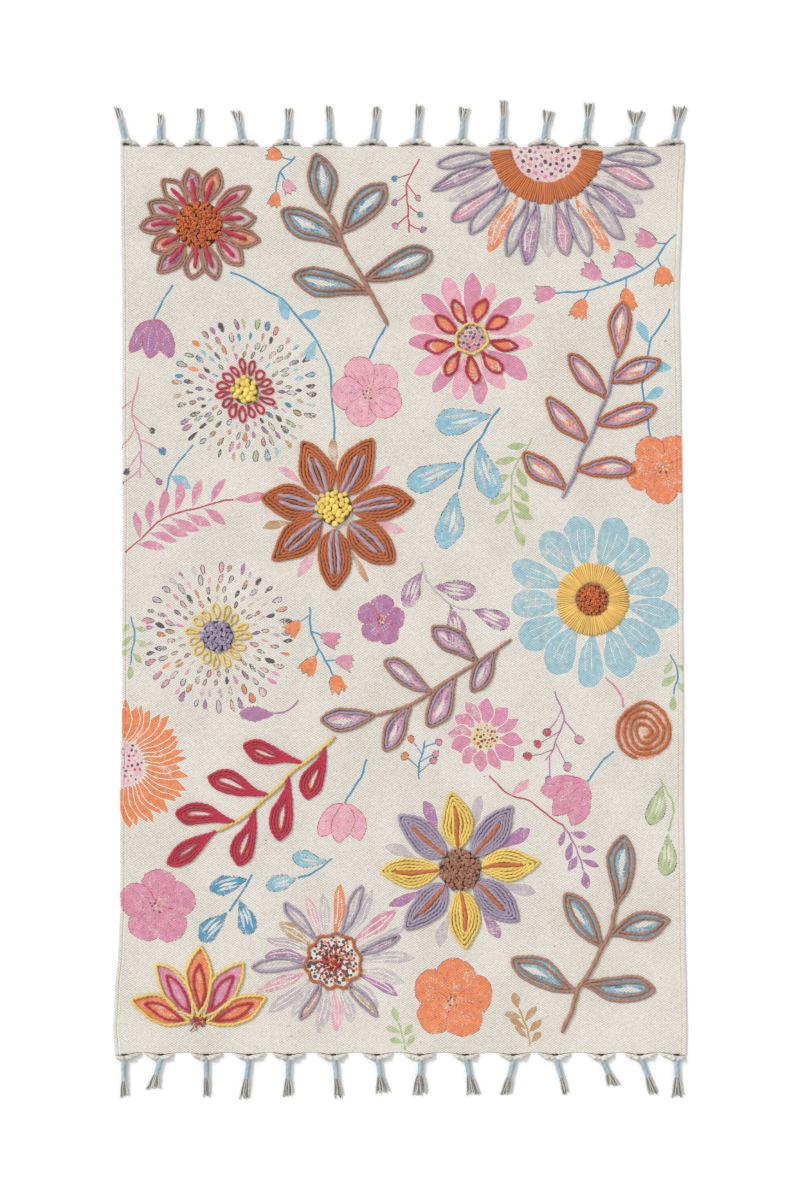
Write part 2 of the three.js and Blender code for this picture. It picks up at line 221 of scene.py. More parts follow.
# %% [markdown]
# Drawing with a few simple shapes.
#
# Every flower here is built from one petal curve, turned and placed round a centre. A petal's half width
# follows a sine along its length. One number moves its widest place, and one makes its tip blunt or
# sharp.

# %% Petals and lines
chance = np.random.default_rng(11)


def petal(length, width, belly=0.6, blunt=0.8, bend=0.0, points=10):
    """A petal's outline from its root at the origin along +X to its tip and back."""
    share = (1 - np.cos(np.linspace(0, np.pi, points))) / 2
    half = width / 2 * np.abs(np.sin(np.pi * share ** (math.log(0.5) / math.log(belly)))) ** blunt
    sway = bend * share ** 2
    upper = np.column_stack([share * length, sway + half])
    lower = np.column_stack([share * length, sway - half])[::-1]
    return np.vstack([upper, lower[1:-1]])


def loose(length, width, belly=0.6, blunt=0.8, points=12, freedom=1.0):
    """A petal drawn by a freer hand, so that no two come out alike."""
    free = freedom * chance.uniform(-1, 1, 4)
    return petal(length * (1 + 0.1 * free[0]), width * (1 + 0.12 * free[1]), belly + 0.04 * free[2], blunt,
                 0.07 * length * free[3], points)


def placed(points, x, y, turn=0.0, start=0.0):
    """The points moved out by start, turned by degrees about the origin, and carried to x, y."""
    points = np.asarray(points, float) + np.array([start, 0.0])
    angle = math.radians(turn)
    spin = np.array([[math.cos(angle), math.sin(angle)], [-math.sin(angle), math.cos(angle)]])
    return points @ spin + np.array([x, y])


def ring(radius, points=24, x=0.0, y=0.0, wobble=0.0):
    """A closed circle, a little uneven where wobble is more than 0."""
    angle = np.linspace(0, 2 * np.pi, points, endpoint=False)
    reach = radius * (1 + wobble * chance.uniform(-1, 1, points))
    return np.column_stack([x + reach * np.cos(angle), y + reach * np.sin(angle)])


def flowing(points, steps=6):
    """A smooth open line through a few given points."""
    points = np.asarray(points, float)
    ends = np.vstack([2 * points[0] - points[1], points, 2 * points[-1] - points[-2]])
    line = []
    for a, b, c, d in zip(ends, ends[1:], ends[2:], ends[3:]):
        for t in np.arange(steps) / steps:
            line.append(0.5 * (2 * b + (c - a) * t + (2 * a - 5 * b + 4 * c - d) * t ** 2
                               + (3 * b - a - 3 * c + d) * t ** 3))
    return np.vstack([line, points[-1:]])


def along(line, share):
    """The point at a share of a line's points, and the line's heading there in degrees."""
    place = share * (len(line) - 1)
    i = min(int(place), len(line) - 2)
    step = line[i + 1] - line[i]
    return line[i] + step * (place - i), math.degrees(math.atan2(step[1], step[0]))


print("a petal has", len(petal(10, 4)), "points")

# %% [markdown]
# Two ways to put a shape on the cloth.
#
# A stamp is a flat patch of ink, and later stamps lie over earlier ones. Its cover says how much of the
# cloth the worn ink still hides. A pen line is a narrow stamp. A cord is a path that yarn will follow.
# Both are only noted down here, and the cloth and the yarn are made from the notes further on. No hand
# draws or sews quite true. Moving each point at random would make rows of yarn run into each other, so
# all points pass through the same slow waves instead, and neighbours stay neighbours.

# %% Stamps, pen lines and cords
stamps = []
cord_notes = {}
PEN_WIDTH = 1.5
CORD = 2.95
SEED_TURN = 2.4


def hand_drawn(points):
    """The points, moved by up to 2.5 mm each way by a long wave and a short one."""
    x, y = np.asarray(points, float).T
    along_x = 1.9 * np.sin(0.079 * y + 0.034 * x + 1.3) + 0.6 * np.sin(0.26 * y - 0.09 * x)
    along_y = 1.9 * np.sin(0.073 * x - 0.041 * y + 4.0) + 0.6 * np.sin(0.24 * x + 0.11 * y + 2.0)
    return np.column_stack([x + along_x, y + along_y])


def stamp(outline, ink, cover=0.78):
    """Notes a patch of ink. Its outline is turned anticlockwise, as the triangulation needs it."""
    outline = hand_drawn(outline)
    x, y = outline.T
    if np.dot(x, np.roll(y, -1)) < np.dot(y, np.roll(x, -1)):
        outline = outline[::-1]
    stamps.append((outline, ink, cover))


def pen(points, ink="charcoal", width=PEN_WIDTH, cover=0.5):
    """A thin printed line along the points."""
    line = np.asarray(points, float)
    ahead = np.gradient(line, axis=0)
    side = np.column_stack([-ahead[:, 1], ahead[:, 0]]) / np.linalg.norm(ahead, axis=1)[:, None]
    stamp(np.vstack([line + side * width / 2, (line - side * width / 2)[::-1]]), ink, cover)


def outlined(outline, ink, cover=0.78, line="charcoal", line_cover=0.7):
    """A stamp with a thin, broken outline."""
    stamp(outline, ink, cover)
    pen(outline, line, cover=line_cover)


def cord(piece, path, dye, radius=CORD, closed=False, lift=0.0):
    """Notes a cord that is sewn along the path."""
    note = {"path": hand_drawn(path), "dye": dye, "radius": radius, "closed": closed, "lift": lift}
    cord_notes.setdefault(piece, []).append(note)


def rosette(x, y, count, start, length, width, inks, turn=0.0, span=360.0, cover=0.78, **shape):
    """Printed petals set round a centre, or over part of a turn. A thin line parts each from the next."""
    for k in range(count):
        angle = turn + span * (k + 0.5) / count + chance.uniform(-2, 2)
        outline = placed(loose(length, width, **shape), x, y, angle, start)
        stamp(outline, inks[k % len(inks)], cover + 0.1 * chance.uniform(-1, 1))
        pen(outline, "white", cover=0.8)


def brush_streaks(x, y, heading, start, length, width, bend):
    """Two pale streaks along a petal, where the brush ran dry."""
    for aside in (-0.2, 0.16):
        share = np.linspace(chance.uniform(0.12, 0.3), chance.uniform(0.7, 0.92), 6)
        off = bend * share ** 2 + aside * width * np.sin(math.pi * share)
        line = np.column_stack([length * share, off])
        pen(placed(line, x, y, heading, start), "white", chance.uniform(1.2, 2.4), 0.6)


def dots(x, y, radius, count, size, inks, cover):
    """Small printed dots scattered evenly over a disc, as seeds are."""
    for k in range(count):
        reach = radius * math.sqrt((k + 0.5) / count)
        angle = k * SEED_TURN
        dot_x, dot_y = x + reach * math.cos(angle), y + reach * math.sin(angle)
        stamp(ring(size * chance.uniform(0.7, 1.2), 7, dot_x, dot_y), inks[k % len(inks)], cover)


print("pen lines are", PEN_WIDTH, "mm wide and cords", 2 * CORD, "mm thick")

# %% [markdown]
# The zinnia.
#
# Its centre is a dome of rust knots. Each petal is drawn with two rows of brown cord, one inside the
# other, and one thick crimson stroke lies along its middle. The petals differ in length, width and lean,
# as drawn by hand.

# %% Zinnia
x, y, radius = spot("knots_zinnia")
ZINNIA_PETALS = 13
ZINNIA_INKS = ["grey", "rose", "orange", "mauve", "white"]
for k in range(ZINNIA_PETALS):
    heading = 360 * (k + 0.5) / ZINNIA_PETALS + chance.uniform(-4, 4)
    length = 61 * chance.uniform(0.88, 1.1)
    width = 34 * chance.uniform(0.88, 1.08)
    bend = chance.uniform(-6, 6)
    body = placed(petal(length, width, 0.55, 0.85, bend), x, y, heading, radius - 6)
    stamp(body, ZINNIA_INKS[k % len(ZINNIA_INKS)], 0.72)
    cord("zinnia_cords", body, "mocha", 2.4, closed=True)
    inside = petal(length - 9, width - 9.6, 0.55, 0.85, 0.8 * bend)
    cord("zinnia_cords", placed(inside, x, y, heading, radius - 1.5), "mocha", 2.2, closed=True)
    stroke = [(0, 0), (0.3 * length, 0.1 * bend), (0.62 * length, 0.4 * bend)]
    cord("zinnia_cords", placed(stroke, x, y, heading, radius - 4), "crimson", 3.8, lift=0.3)
print("cords of the zinnia:", len(cord_notes["zinnia_cords"]))

# %% [markdown]
# The two dahlias.
#
# Short loops of cord stand round the knots like a collar. Outside it, printed drops point outwards in
# rings, and grow from ring to ring. Each ring is turned half a step against the one inside it, as seeds
# sit in a flower head, and the inks change from drop to drop.

# %% Dahlias
DROP_RINGS = [(24, 13, 5.4), (30, 15, 6.4), (34, 17, 7.4), (38, 19, 8.2)]
DROP_GAP = 2
COLLAR_LOOPS = 15


def dahlia(piece, node, collar, drop_inks, reach=1.0):
    x, y, radius = spot(node)
    for k in range(COLLAR_LOOPS):
        loop = placed(loose(25, 10.5, 0.65, 0.7, 9, freedom=1.4), x, y, 360 * k / COLLAR_LOOPS, radius - 2)
        cord(piece, loop, collar, radius=2.2, closed=True)
    start = radius + 26
    for row, (count, length, width) in enumerate(DROP_RINGS):
        for k in range(count):
            turn = 360 * (k + 0.5 * (row % 2)) / count + chance.uniform(-3, 3)
            size = reach * chance.uniform(0.8, 1.1)
            drop = placed(loose(length * size, width * size, 0.6, 0.55, 6, 1.3), x, y, turn, start)
            ink = drop_inks[int(chance.integers(len(drop_inks)))]
            stamp(drop, ink, chance.uniform(0.6, 0.95))
            if chance.random() < 0.6:
                pen(drop, cover=0.72)
        start += length * reach + DROP_GAP


dahlia("red_dahlia_cords", "knots_red_dahlia", "crimson",
       ["teal", "orange", "mauve", "sage", "pink", "tan", "grey", "charcoal", "sky"], 0.96)
dahlia("gold_dahlia_cords", "knots_gold_dahlia", "mustard",
       ["pink", "grey", "rose", "mauve", "orange", "charcoal", "tan", "grey"], 0.98)
print("stamps so far:", len(stamps))

# %% [markdown]
# The two cone flowers.
#
# Each petal is filled with cord in rows that follow its edge, one inside the next, until no room is left.
# Thick, soft veins of another colour lie along the middle. The outermost row runs half a cord inside the
# CAD petal's edge, and each petal is a little shorter, slimmer or more bent than the next. One flower is
# rust all over, and the other has mustard and lilac petals in turn.

# %% Cone flowers
ROW_STEP = 5.3
PETAL_FULLNESS = 0.5 ** (1 / 0.85)


def cone_flower(piece, node, count, turn, inner, outer, width, dyes, vein, veins):
    x, y, _ = spot(node)
    for k in range(count):
        dye = dyes[k % len(dyes)]
        heading = turn + 360 * k / count + chance.uniform(-2, 2)
        long = (outer - inner) * chance.uniform(0.92, 1.0)
        wide = width * chance.uniform(0.92, 1.0)
        bend = chance.uniform(-5, 5)
        # Painted shade: a darker ink of the petal's own colour is printed under the rows, to show in the gaps
        # between them.
        shade_ground = petal(long - 4, wide - 5, PETAL_FULLNESS, 0.8, bend, 12)
        stamp(placed(shade_ground, x, y, heading, inner + 2), dye, 1.0)
        inset = CORD
        while wide / 2 - inset > 1.4 * ROW_STEP:
            row_bend = bend * (1 - inset / long)
            row = petal(long - 2.1 * inset, wide - 2 * inset, PETAL_FULLNESS, 0.8, row_bend, 14)
            cord(piece, placed(row, x, y, heading, inner + 0.7 * inset), dye, closed=True)
            inset += ROW_STEP
        middles = [(-7, vein), (7, vein), (0, dye)] if veins > 1 else [(0, vein), (-6, dye), (6, dye)]
        for aside, thread in middles:
            reach = long * chance.uniform(0.64, 0.74)
            line = [(3, 0.4 * aside), (0.3 * reach, 0.8 * aside + 0.04 * bend),
                    (0.65 * reach, aside + 0.2 * bend), (reach, 0.7 * aside + 0.5 * bend)]
            raised = {"radius": 3.7, "lift": 0.7} if thread == vein else {"lift": 0.2}
            cord(piece, placed(line, x, y, heading, inner), thread, **raised)


x, y, _ = spot("petals_rust_cone")
rosette(x, y, 7, 66, 58, 17, ["rose", "tan"], turn=12, belly=0.6, cover=0.8)
x, y, _ = spot("petals_gold_cone")
rosette(x, y, 8, 62, 66, 22, ["mauve", "grey"], turn=5, belly=0.65, cover=0.8)
cone_flower("petal_rows_rust", "petals_rust_cone", 7, 12, 28, 135, 62, ["rust"], "lilac", 2)
cone_flower("petal_rows_gold", "petals_gold_cone", 8, 5, 32, 140, 54, ["mustard", "lilac"], "rust", 1)
print("rows in a rust petal:", sum(note["dye"] == "rust" for note in cord_notes["petal_rows_rust"]) // 7)

# %% [markdown]
# The two satin daisies.
#
# One lies whole at the right, with pale blue petals. The other is cut by the cloth's end, as motifs are
# when a long printed length is cut into rugs. Some of its petals carry a couched outline, and the inside
# of its ring is printed with dots.

# %% Satin daisies
BLUE_PETALS = 13
x, y, radius = spot("satin_blue_daisy")
rosette(x, y, BLUE_PETALS, radius - 8, 88, 51, ["pale"], turn=4, belly=0.66, blunt=0.5, cover=0.84)
for k in range(BLUE_PETALS):
    for aside in (-7, 5):
        line = [(4, aside * 0.5), (24, aside * 0.9), (50, aside)]
        pen(placed(line, x, y, 4 + 360 * (k + 0.5) / BLUE_PETALS, radius + 6), "white", 1.3, 0.66)

HALF_DAISY = (235, 737)
HALF_RING = (58, 92)
HALF_SPAN = (184, 356)
HALF_PETALS = 17
HALF_START = HALF_RING[1] - 3
HALF_INKS = ["grey", "mauve", "grey", "pink", "grey", "orange"]
x, y = HALF_DAISY
stamp(ring(HALF_RING[0] + 2, 30, x, y), "rose", 0.55)
dots(x, y, 54, 90, 3.2, ["mauve", "charcoal", "pink", "charcoal"], 0.85)
for k in range(HALF_PETALS):
    heading = 182.5 + 175 * (k + 0.5) / HALF_PETALS + chance.uniform(-1.2, 1.2)
    length = 100 * chance.uniform(0.9, 1.12)
    width = 27 * chance.uniform(0.85, 1.1)
    bend = chance.uniform(-8, 8)
    body = placed(petal(length, width, 0.62, 0.7, bend), x, y, heading, HALF_START)
    stamp(body, HALF_INKS[k % len(HALF_INKS)], 0.7)
    brush_streaks(x, y, heading, HALF_START, length, width, bend)
    if k % 3 < 2:
        edge = petal(length - 3, width - 2, 0.62, 0.7, bend, 12)
        cord("half_daisy_cords", placed(edge, x, y, heading, HALF_START + 1), "lilac", 2.5, closed=True)
print("cords of the half daisy:", len(cord_notes["half_daisy_cords"]))

# %% [markdown]
# A gerbera with two rows of petals.
#
# The long outer petals are only printed. The short inner ones are edged with crimson cord, and a ring of
# mustard loops closes them. The middle is printed with dots.

# %% Gerbera
GERBERA = (112, 424)
SHORT_PETALS = 9
rosette(*GERBERA, 15, 26, 80, 29, ["rose", "pink"], 5, belly=0.64, blunt=0.62, cover=0.84)
rosette(*GERBERA, SHORT_PETALS, 24, 46, 22, ["orange"], 12, belly=0.6, blunt=0.8, cover=0.82)
stamp(ring(24, 20, *GERBERA), "mauve", 0.6)
dots(*GERBERA, 22, 34, 2.6, ["charcoal", "crimson", "orange"], 0.85)
for k in range(SHORT_PETALS):
    edge = placed(loose(45, 20, points=10), *GERBERA, 12 + 360 * (k + 0.5) / SHORT_PETALS, 27)
    cord("gerbera_cords", edge, "crimson", 2.6, closed=True)
cord("gerbera_cords", ring(25, 30, *GERBERA, 0.05), "mustard", 2.8, closed=True, lift=0.5)
print("cords of the gerbera:", len(cord_notes["gerbera_cords"]))

# %% [markdown]
# Leaf branches.
#
# A stem and its leaves are drawn with cord. Each leaf has two or three outlines, one inside the other,
# and a printed middle with darker streaks, as if brushed. On the broad leaves the outlines stand apart
# and the print shows between them. On the slim ones they touch, and the crimson leaves are widest near
# their tips.

# %% Leaf branches
BROAD_LEAF = 40
LEAF_EDGE, LEAF_ROW = 2.9, 2.5
BROAD = {"width": 45, "belly": 0.62, "insets": (0, 9.4), "dyes": ("mocha", "mocha", "mocha"),
         "inks": ("sky", "teal")}
BRANCHES = [
    {"piece": "mocha_branch_cords", "stem": [(-22, 446), (-62, 516), (-95, 578), (-120, 628)],
     "leaves": [(0.26, 168, 126), (0.36, 20, 122), (0.66, 150, 116), (0.78, 46, 112), (1.0, 99, 98)],
     **BROAD},
    {"piece": "brown_branch_cords", "stem": [(262, -706), (290, -632), (328, -566), (350, -500)],
     "leaves": [(0.3, 154, 120), (0.36, -8, 118), (0.66, 128, 108), (0.76, 18, 102), (1.0, 82, 114)],
     **BROAD},
    {"piece": "crimson_branch_cords", "stem": [(-108, -222), (-176, -280), (-236, -338), (-300, -376)],
     "leaves": [(0.08, 252, 92), (0.26, 164, 98), (0.38, 262, 102), (0.56, 160, 102), (0.68, 254, 98),
                (0.86, 166, 94), (1.0, 212, 96)],
     "width": 33, "belly": 0.72, "insets": (0, 4.9, 11), "dyes": ("mustard", "crimson", "crimson"),
     "inks": ("orange", "pink")},
    {"piece": "lilac_branch_cords", "stem": [(262, 166), (296, 244), (328, 318), (350, 392)],
     "leaves": [(0.06, 144, 92), (0.2, 2, 96), (0.38, 134, 96), (0.52, 16, 100), (0.7, 126, 92),
                (0.82, 28, 88), (1.0, 84, 94)],
     "width": 33, "belly": 0.6, "insets": (0, 5.1), "dyes": ("lilac", "rust", "lilac"),
     "inks": ("pink", "orange")},
    {"piece": "rust_branch_cords", "stem": [(176, -66), (104, -112), (34, -160), (-42, -190)],
     "leaves": [(0.1, 236, 80), (0.24, 142, 92), (0.42, 244, 92), (0.6, 146, 92), (0.76, 238, 86),
                (1.0, 186, 90)],
     "width": 34, "belly": 0.6, "insets": (0, 5.4), "dyes": ("mocha", "mocha", "lilac"),
     "inks": ("rose", "mauve")},
]


def cord_leaf(branch, x, y, turn, length):
    """One leaf: its print, then its cords from the edge inwards."""
    width = branch["width"] * chance.uniform(0.9, 1.08)
    belly = branch["belly"]
    bend = 0.07 * length * chance.uniform(-1, 1)
    ink, streak = branch["inks"]
    _, edge_dye, row_dye = branch["dyes"]
    body = petal(length, width, belly, 0.75, bend, 14)
    stamp(placed(body, x, y, turn), ink, 0.82)
    for aside, share in ((-0.15, 0.55), (0.1, 0.65)):
        brush = petal(length * share, width * 0.2, 0.5, 0.9, points=6)
        stamp(placed(brush + np.array([0.22 * length, aside * width]), x, y, turn), streak, 0.66)
    pale = petal(length * 0.4, width * 0.22, 0.5, 0.9, points=5) + np.array([0.44 * length, 0.02 * width])
    stamp(placed(pale, x, y, turn), "white", 0.5)
    for inset in branch["insets"]:
        row = petal(length - 2.5 * inset, width - 2 * inset, belly, 0.75, bend * (1 - inset / length), 14)
        dye = row_dye if inset else edge_dye
        thick = LEAF_EDGE if inset == 0 or branch["width"] > BROAD_LEAF else LEAF_ROW
        cord(branch["piece"], placed(row, x, y, turn, 1.5 * inset), dye, thick, closed=True)


for branch in BRANCHES:
    line = flowing(branch["stem"], 8)
    cord(branch["piece"], line, branch["dyes"][0], 3.8 if branch["width"] > BROAD_LEAF else 3.1)
    for share, turn, length in branch["leaves"]:
        cord_leaf(branch, *along(line, share)[0], turn, length)
print("leaves edged with cord:", sum(len(branch["leaves"]) for branch in BRANCHES))

# %% [markdown]
# A loose daisy.
#
# Its petals are long, thin and worn, most of them grey, and they lie at odd angles with bare cloth
# between. Every fourth one is edged with a lilac cord. A wavy rust cord closes the speckled middle, and
# crimson threads run out over it.

# %% Loose daisy
DAISY = (-112, -588)
DAISY_MIDDLE = 44
DAISY_START = DAISY_MIDDLE - 4
DAISY_PETALS = 25
DAISY_THREADS = 14
DAISY_INKS = ["grey", "mauve", "grey", "pink", "grey", "grey", "orange", "grey", "rose", "grey", "tan"]
for k in range(DAISY_PETALS):
    heading = 360 * k / DAISY_PETALS + chance.uniform(-4, 4)
    length = 86 * chance.uniform(0.78, 1.12)
    width = 20 * chance.uniform(0.7, 1.2)
    bend = chance.uniform(-7, 7)
    shape = placed(petal(length, width, 0.62, 0.7, bend, 12), *DAISY, heading, DAISY_START)
    stamp(shape, DAISY_INKS[k % len(DAISY_INKS)], chance.uniform(0.6, 0.84))
    brush_streaks(*DAISY, heading, DAISY_START, length, width, bend)
    if k % 4 == 1:
        cord("loose_daisy_cords", shape, "lilac", 2.4, closed=True)
stamp(ring(DAISY_MIDDLE, 24, *DAISY), "white", 0.9)
dots(*DAISY, DAISY_MIDDLE - 5, 150, 3.1, ["charcoal", "orange", "charcoal", "charcoal", "white"], 0.9)
around = np.linspace(0, 2 * np.pi, 90, endpoint=False)
wavy = DAISY_MIDDLE + 2.6 * np.sin(10 * around)
wavy = np.column_stack([wavy * np.cos(around), wavy * np.sin(around)]) + np.array(DAISY)
cord("loose_daisy_cords", wavy, "rust", 2.9, closed=True)
for k in range(DAISY_THREADS):
    thread = placed([(12, 0), (22, 0), (33, 1)], *DAISY, 360 * k / DAISY_THREADS)
    cord("loose_daisy_cords", thread, "crimson", 1.3)
print("cords of the loose daisy:", len(cord_notes["loose_daisy_cords"]))

# %% [markdown]
# A rose and a lotus in plain cord.
#
# The rose is one spiral of rust cord that waves a little. The lotus is a fan of pointed petals with
# doubled edges in mustard and crimson over printed orange. Both are quick to sew and read well from far
# away.

# %% Rose and lotus
ROSE = (396, -214, 48)
ROSE_TURNS = 4.7
turns = np.linspace(0.7, ROSE_TURNS, 120)
reach = ROSE[2] * turns / ROSE_TURNS
wave = 1 + 0.06 * np.sin(3 * 2 * np.pi * turns + 0.8 * turns)
angle = 2 * np.pi * turns
spiral = np.column_stack([reach * wave * np.cos(angle), reach * wave * np.sin(angle)])
stamp(ring(ROSE[2] - 2, 24, ROSE[0], ROSE[1]), "orange", 0.6)
cord("rose_cords", spiral + np.array(ROSE[:2]), "rust")

LOTUS = (-330, -694)
for k, turn in enumerate((22, 56, 90, 124, 158)):
    long = 116 - 6 * abs(k - 2)
    outline = placed(petal(long, 42, 0.55, 0.95, points=13), *LOTUS, turn, 14)
    stamp(outline, ("orange", "pink")[k % 2], 0.8)
    cord("lotus_cords", outline, "mustard", closed=True)
    inside = placed(petal(long * 0.66, 19, 0.55, 0.95), *LOTUS, turn, 26)
    cord("lotus_cords", inside, "crimson", 2.4, True)
for turn in (39, 73, 107, 141):
    cord("lotus_cords", placed([(16, 0), (36, 0), (58, 0)], *LOTUS, turn), "lilac", 2.6, lift=0.4)
print("cords of the lotus:", len(cord_notes["lotus_cords"]))

# %% [markdown]
# Printed flowers, leaves and sprays.
#
# These have no yarn at all. A few small recipes are enough: a poppy of overlapping round petals, an aster
# of thin ones, a tulip, a fern, a spray of berries and a sprig of bells. Thin stems with a leaf or two
# run from flower to flower. The pen lines are a little broken, because the block never prints evenly on a
# coarse weave.

# %% Recipes for printed motifs


def poppy(x, y, size, ink, turn):
    """Five overlapping round petals with fine veins."""
    for k in range(5):
        heading = turn + 360 * k / 5
        outline = placed(petal(size, size * 0.95, 0.62, 0.5, points=9), x, y, heading, 2)
        outlined(outline, ink, 0.86, line="crimson")
        for aside in (-0.24, 0, 0.24):
            vein = [(0.2 * size, aside * 0.4 * size), (0.5 * size, aside * 0.8 * size),
                    (0.78 * size, aside * size)]
            pen(placed(vein, x, y, heading), "crimson", 1.1, 0.66)
    dots(x, y, size * 0.2, 12, 2.0, ["crimson", "charcoal", "mustard"], 0.85)


def aster(x, y, inner, outer, count, inks, centre, width, turn, span=360.0):
    """Thin petals round a dotted middle, or over part of a turn."""
    rosette(x, y, count, inner - 4, outer - inner, width, inks, turn, span, 0.84, belly=0.55, blunt=0.9)
    stamp(ring(inner, 20, x, y, 0.04), centre, 0.55)
    dots(x, y, inner - 3, int(inner * 1.6), 2.3, [centre, "charcoal", "crimson"], 0.82)


def tulip(x, y, size, ink, turn, stem):
    """Three petals on a stem, the middle one in front."""
    pen(flowing(stem, 5), "teal", 3.6, 0.88)
    for aside in (-30, 30, 0):
        outline = placed(petal(size, size * 0.54, 0.5, 0.72, points=10), x, y, turn + aside)
        outlined(outline, ink, 0.86, line="crimson")
        for lean in (-0.12, 0.12):
            vein = [(0.2 * size, 0.4 * lean * size), (0.5 * size, lean * size),
                    (0.8 * size, 0.6 * lean * size)]
            pen(placed(vein, x, y, turn + aside), "crimson", 1.1, 0.6)


def fern(stem, leaves, length, width, ink, stem_ink):
    """Small leaves on both sides of a stem, and one at its end."""
    line = flowing(stem, 6)
    pen(line, stem_ink, 3.0, 0.88)
    for k in range(leaves):
        for side in (-1, 1):
            (px, py), heading = along(line, 0.1 + 0.82 * (k + 0.4 * (side > 0)) / leaves)
            size = 1 - 0.35 * abs(k / leaves - 0.45)
            leaf = petal(length * size, width * size, 0.6, 0.8, points=8)
            stamp(placed(leaf, px, py, heading + side * 52, 2), ink, 0.82 + chance.uniform(-0.1, 0.1))
    (px, py), heading = along(line, 1.0)
    stamp(placed(petal(length, width, 0.6, 0.8, points=8), px, py, heading), ink, 0.82)


def berries(stem, twigs, length, stem_ink, berry_inks, size=5.6, fold=38):
    """A stem with twigs to the left and right in turn, and a berry on each."""
    line = flowing(stem, 6)
    pen(line, stem_ink, 2.8, 0.88)
    for k in range(twigs):
        (px, py), heading = along(line, 0.2 + 0.8 * k / twigs)
        side = 1 if k % 2 else -1
        twig = placed([(0, 0), (length * 0.5, side * 2), (length, side * 6)], px, py, heading + side * fold)
        pen(twig, stem_ink, 2.2, 0.85)
        outlined(ring(size, 10, *twig[-1], 0.06), berry_inks[k % len(berry_inks)], 0.88, line_cover=0.72)


def bell(x, y, turn, size, ink):
    """A bell that opens outwards with a toothed rim."""
    outline = [(0, -0.12), (0.3, -0.34), (0.7, -0.42), (1.0, -0.5), (0.86, -0.28), (1.1, -0.1), (0.9, 0.08),
               (1.08, 0.26), (0.88, 0.36), (0.98, 0.52), (0.66, 0.42), (0.28, 0.34), (0, 0.12)]
    outline = placed(np.array(outline) * size, x, y, turn)
    outlined(outline, ink, 0.86)


def bells(stem, count, size, inks):
    """Bells to the left and right of a stem in turn, and one at its end."""
    line = flowing(stem, 6)
    pen(line, "teal", 3.4, 0.9)
    for k in range(count):
        (px, py), heading = along(line, 0.1 + 0.9 * k / (count - 1))
        turn = heading + (0 if k == count - 1 else 58 * (1 if k % 2 else -1))
        pen(placed([(0, 0), (10, 0), (18, 0)], px, py, turn), "teal", 2.6, 0.88)
        bell(*placed([(17, 0)], px, py, turn)[0], turn + chance.uniform(-12, 12), size, inks[k % len(inks)])


def big_leaves(stem, count, length, width, ink, streak, cover=0.84):
    """Broad brushed leaves to the left and right of a stem in turn, and one at its end."""
    line = flowing(stem, 6)
    pen(line, "teal" if streak == "sky" else streak, 3.6, 0.9)
    for k in range(count):
        (px, py), heading = along(line, 0.1 + 0.9 * k / max(count - 1, 1))
        turn = heading + (0 if k == count - 1 else 48 * (1 if k % 2 else -1))
        leaf = placed(petal(length, width, 0.66, 0.6, points=12), px, py, turn, 3)
        outlined(leaf, ink, cover, line_cover=0.62)
        for aside, share, brush_ink in ((-0.2, 0.6, streak), (0.02, 0.5, "white"), (0.2, 0.62, streak)):
            brush = petal(length * share, width * 0.16, 0.5, 0.9, points=6)
            brush = placed(brush + np.array([0.24 * length, aside * width]), px, py, turn, 3)
            stamp(brush, brush_ink, 0.5)


print("recipes ready")

# %% Printed flowers in their places
STEMS = [
    ("teal", 3.6, [(-281, 534), (-197, 487), (-124, 392), (-110, 262)],
     [(0.3, 300), (0.44, 10), (0.58, 240)]),
    ("teal", 3.4, [(-52, 391), (-42, 420), (-24, 444)], []),
    ("teal", 3.4, [(407, 263), (393, 330), (402, 410), (436, 474)], [(0.3, 30), (0.55, 350), (0.7, 120)]),
    ("crimson", 2.8, [(140, -288), (166, -312), (206, -330), (262, -368)], [(0.42, 35)]),
    ("teal", 3.2, [(-340, 252), (-366, 222), (-384, 180), (-388, 142)], [(0.5, 330)]),
    ("pink", 3.2, [(330, -128), (352, -150), (362, -176)], []),
]
for ink, width, line, leaves in STEMS:
    line = flowing(line, 8)
    pen(line, ink, width, 0.9)
    for share, turn in leaves:
        stamp(placed(loose(40, 17), *along(line, share)[0], turn), "sky" if ink == "teal" else "rose", 0.84)
fern([(6, -734), (0, -716), (-6, -690)], 2, 28, 12, "sage", "sage")
fern([(-442, -26), (-436, -66), (-442, -108)], 3, 24, 11, "sage", "teal")
berries([(30, -292), (28, -264), (38, -228)], 5, 28, "teal", ["pink", "orange"], 6, 42)
berries([(26, 716), (10, 676), (8, 636), (14, 598)], 6, 26, "crimson", ["teal", "pink", "mauve"], 5)
poppy(-398, -500, 60, "pink", 18)
poppy(82, -650, 64, "orange", 10)
poppy(-56, 338, 56, "rose", 40)
poppy(424, 214, 56, "orange", 54)
aster(-457, -268, 38, 112, 22, ["orange"], "rose", 20, -90, 180)
aster(134, -222, 22, 66, 12, ["pink"], "mustard", 27, 8)
tulip(-402, 456, 66, "mauve", 262, [(-372, 512), (-390, 490), (-402, 456)])
tulip(300, -298, 76, "pink", 222, [(346, -250), (322, -270), (300, -298)])
tulip(-92, -330, 68, "rose", 262, [(-56, -258), (-72, -294), (-92, -330)])
fern([(-448, 78), (-404, 118), (-352, 146), (-272, 162)], 6, 54, 17, "pink", "crimson")
fern([(214, 262), (186, 218), (176, 164), (186, 122)], 5, 40, 16, "sage", "sage")
fern([(206, -726), (204, -698), (192, -668)], 3, 32, 13, "tan", "tan")
fern([(436, -92), (448, -120), (444, -152)], 2, 30, 13, "sage", "teal")
poppy(-34, -34, 38, "mauve", 12)
fern([(262, -368), (284, -402), (294, -440)], 3, 34, 14, "mauve", "mauve")
berries([(-430, 360), (-438, 300), (-424, 240), (-428, 196)], 7, 42, "pink", ["teal", "charcoal", "mauve"])
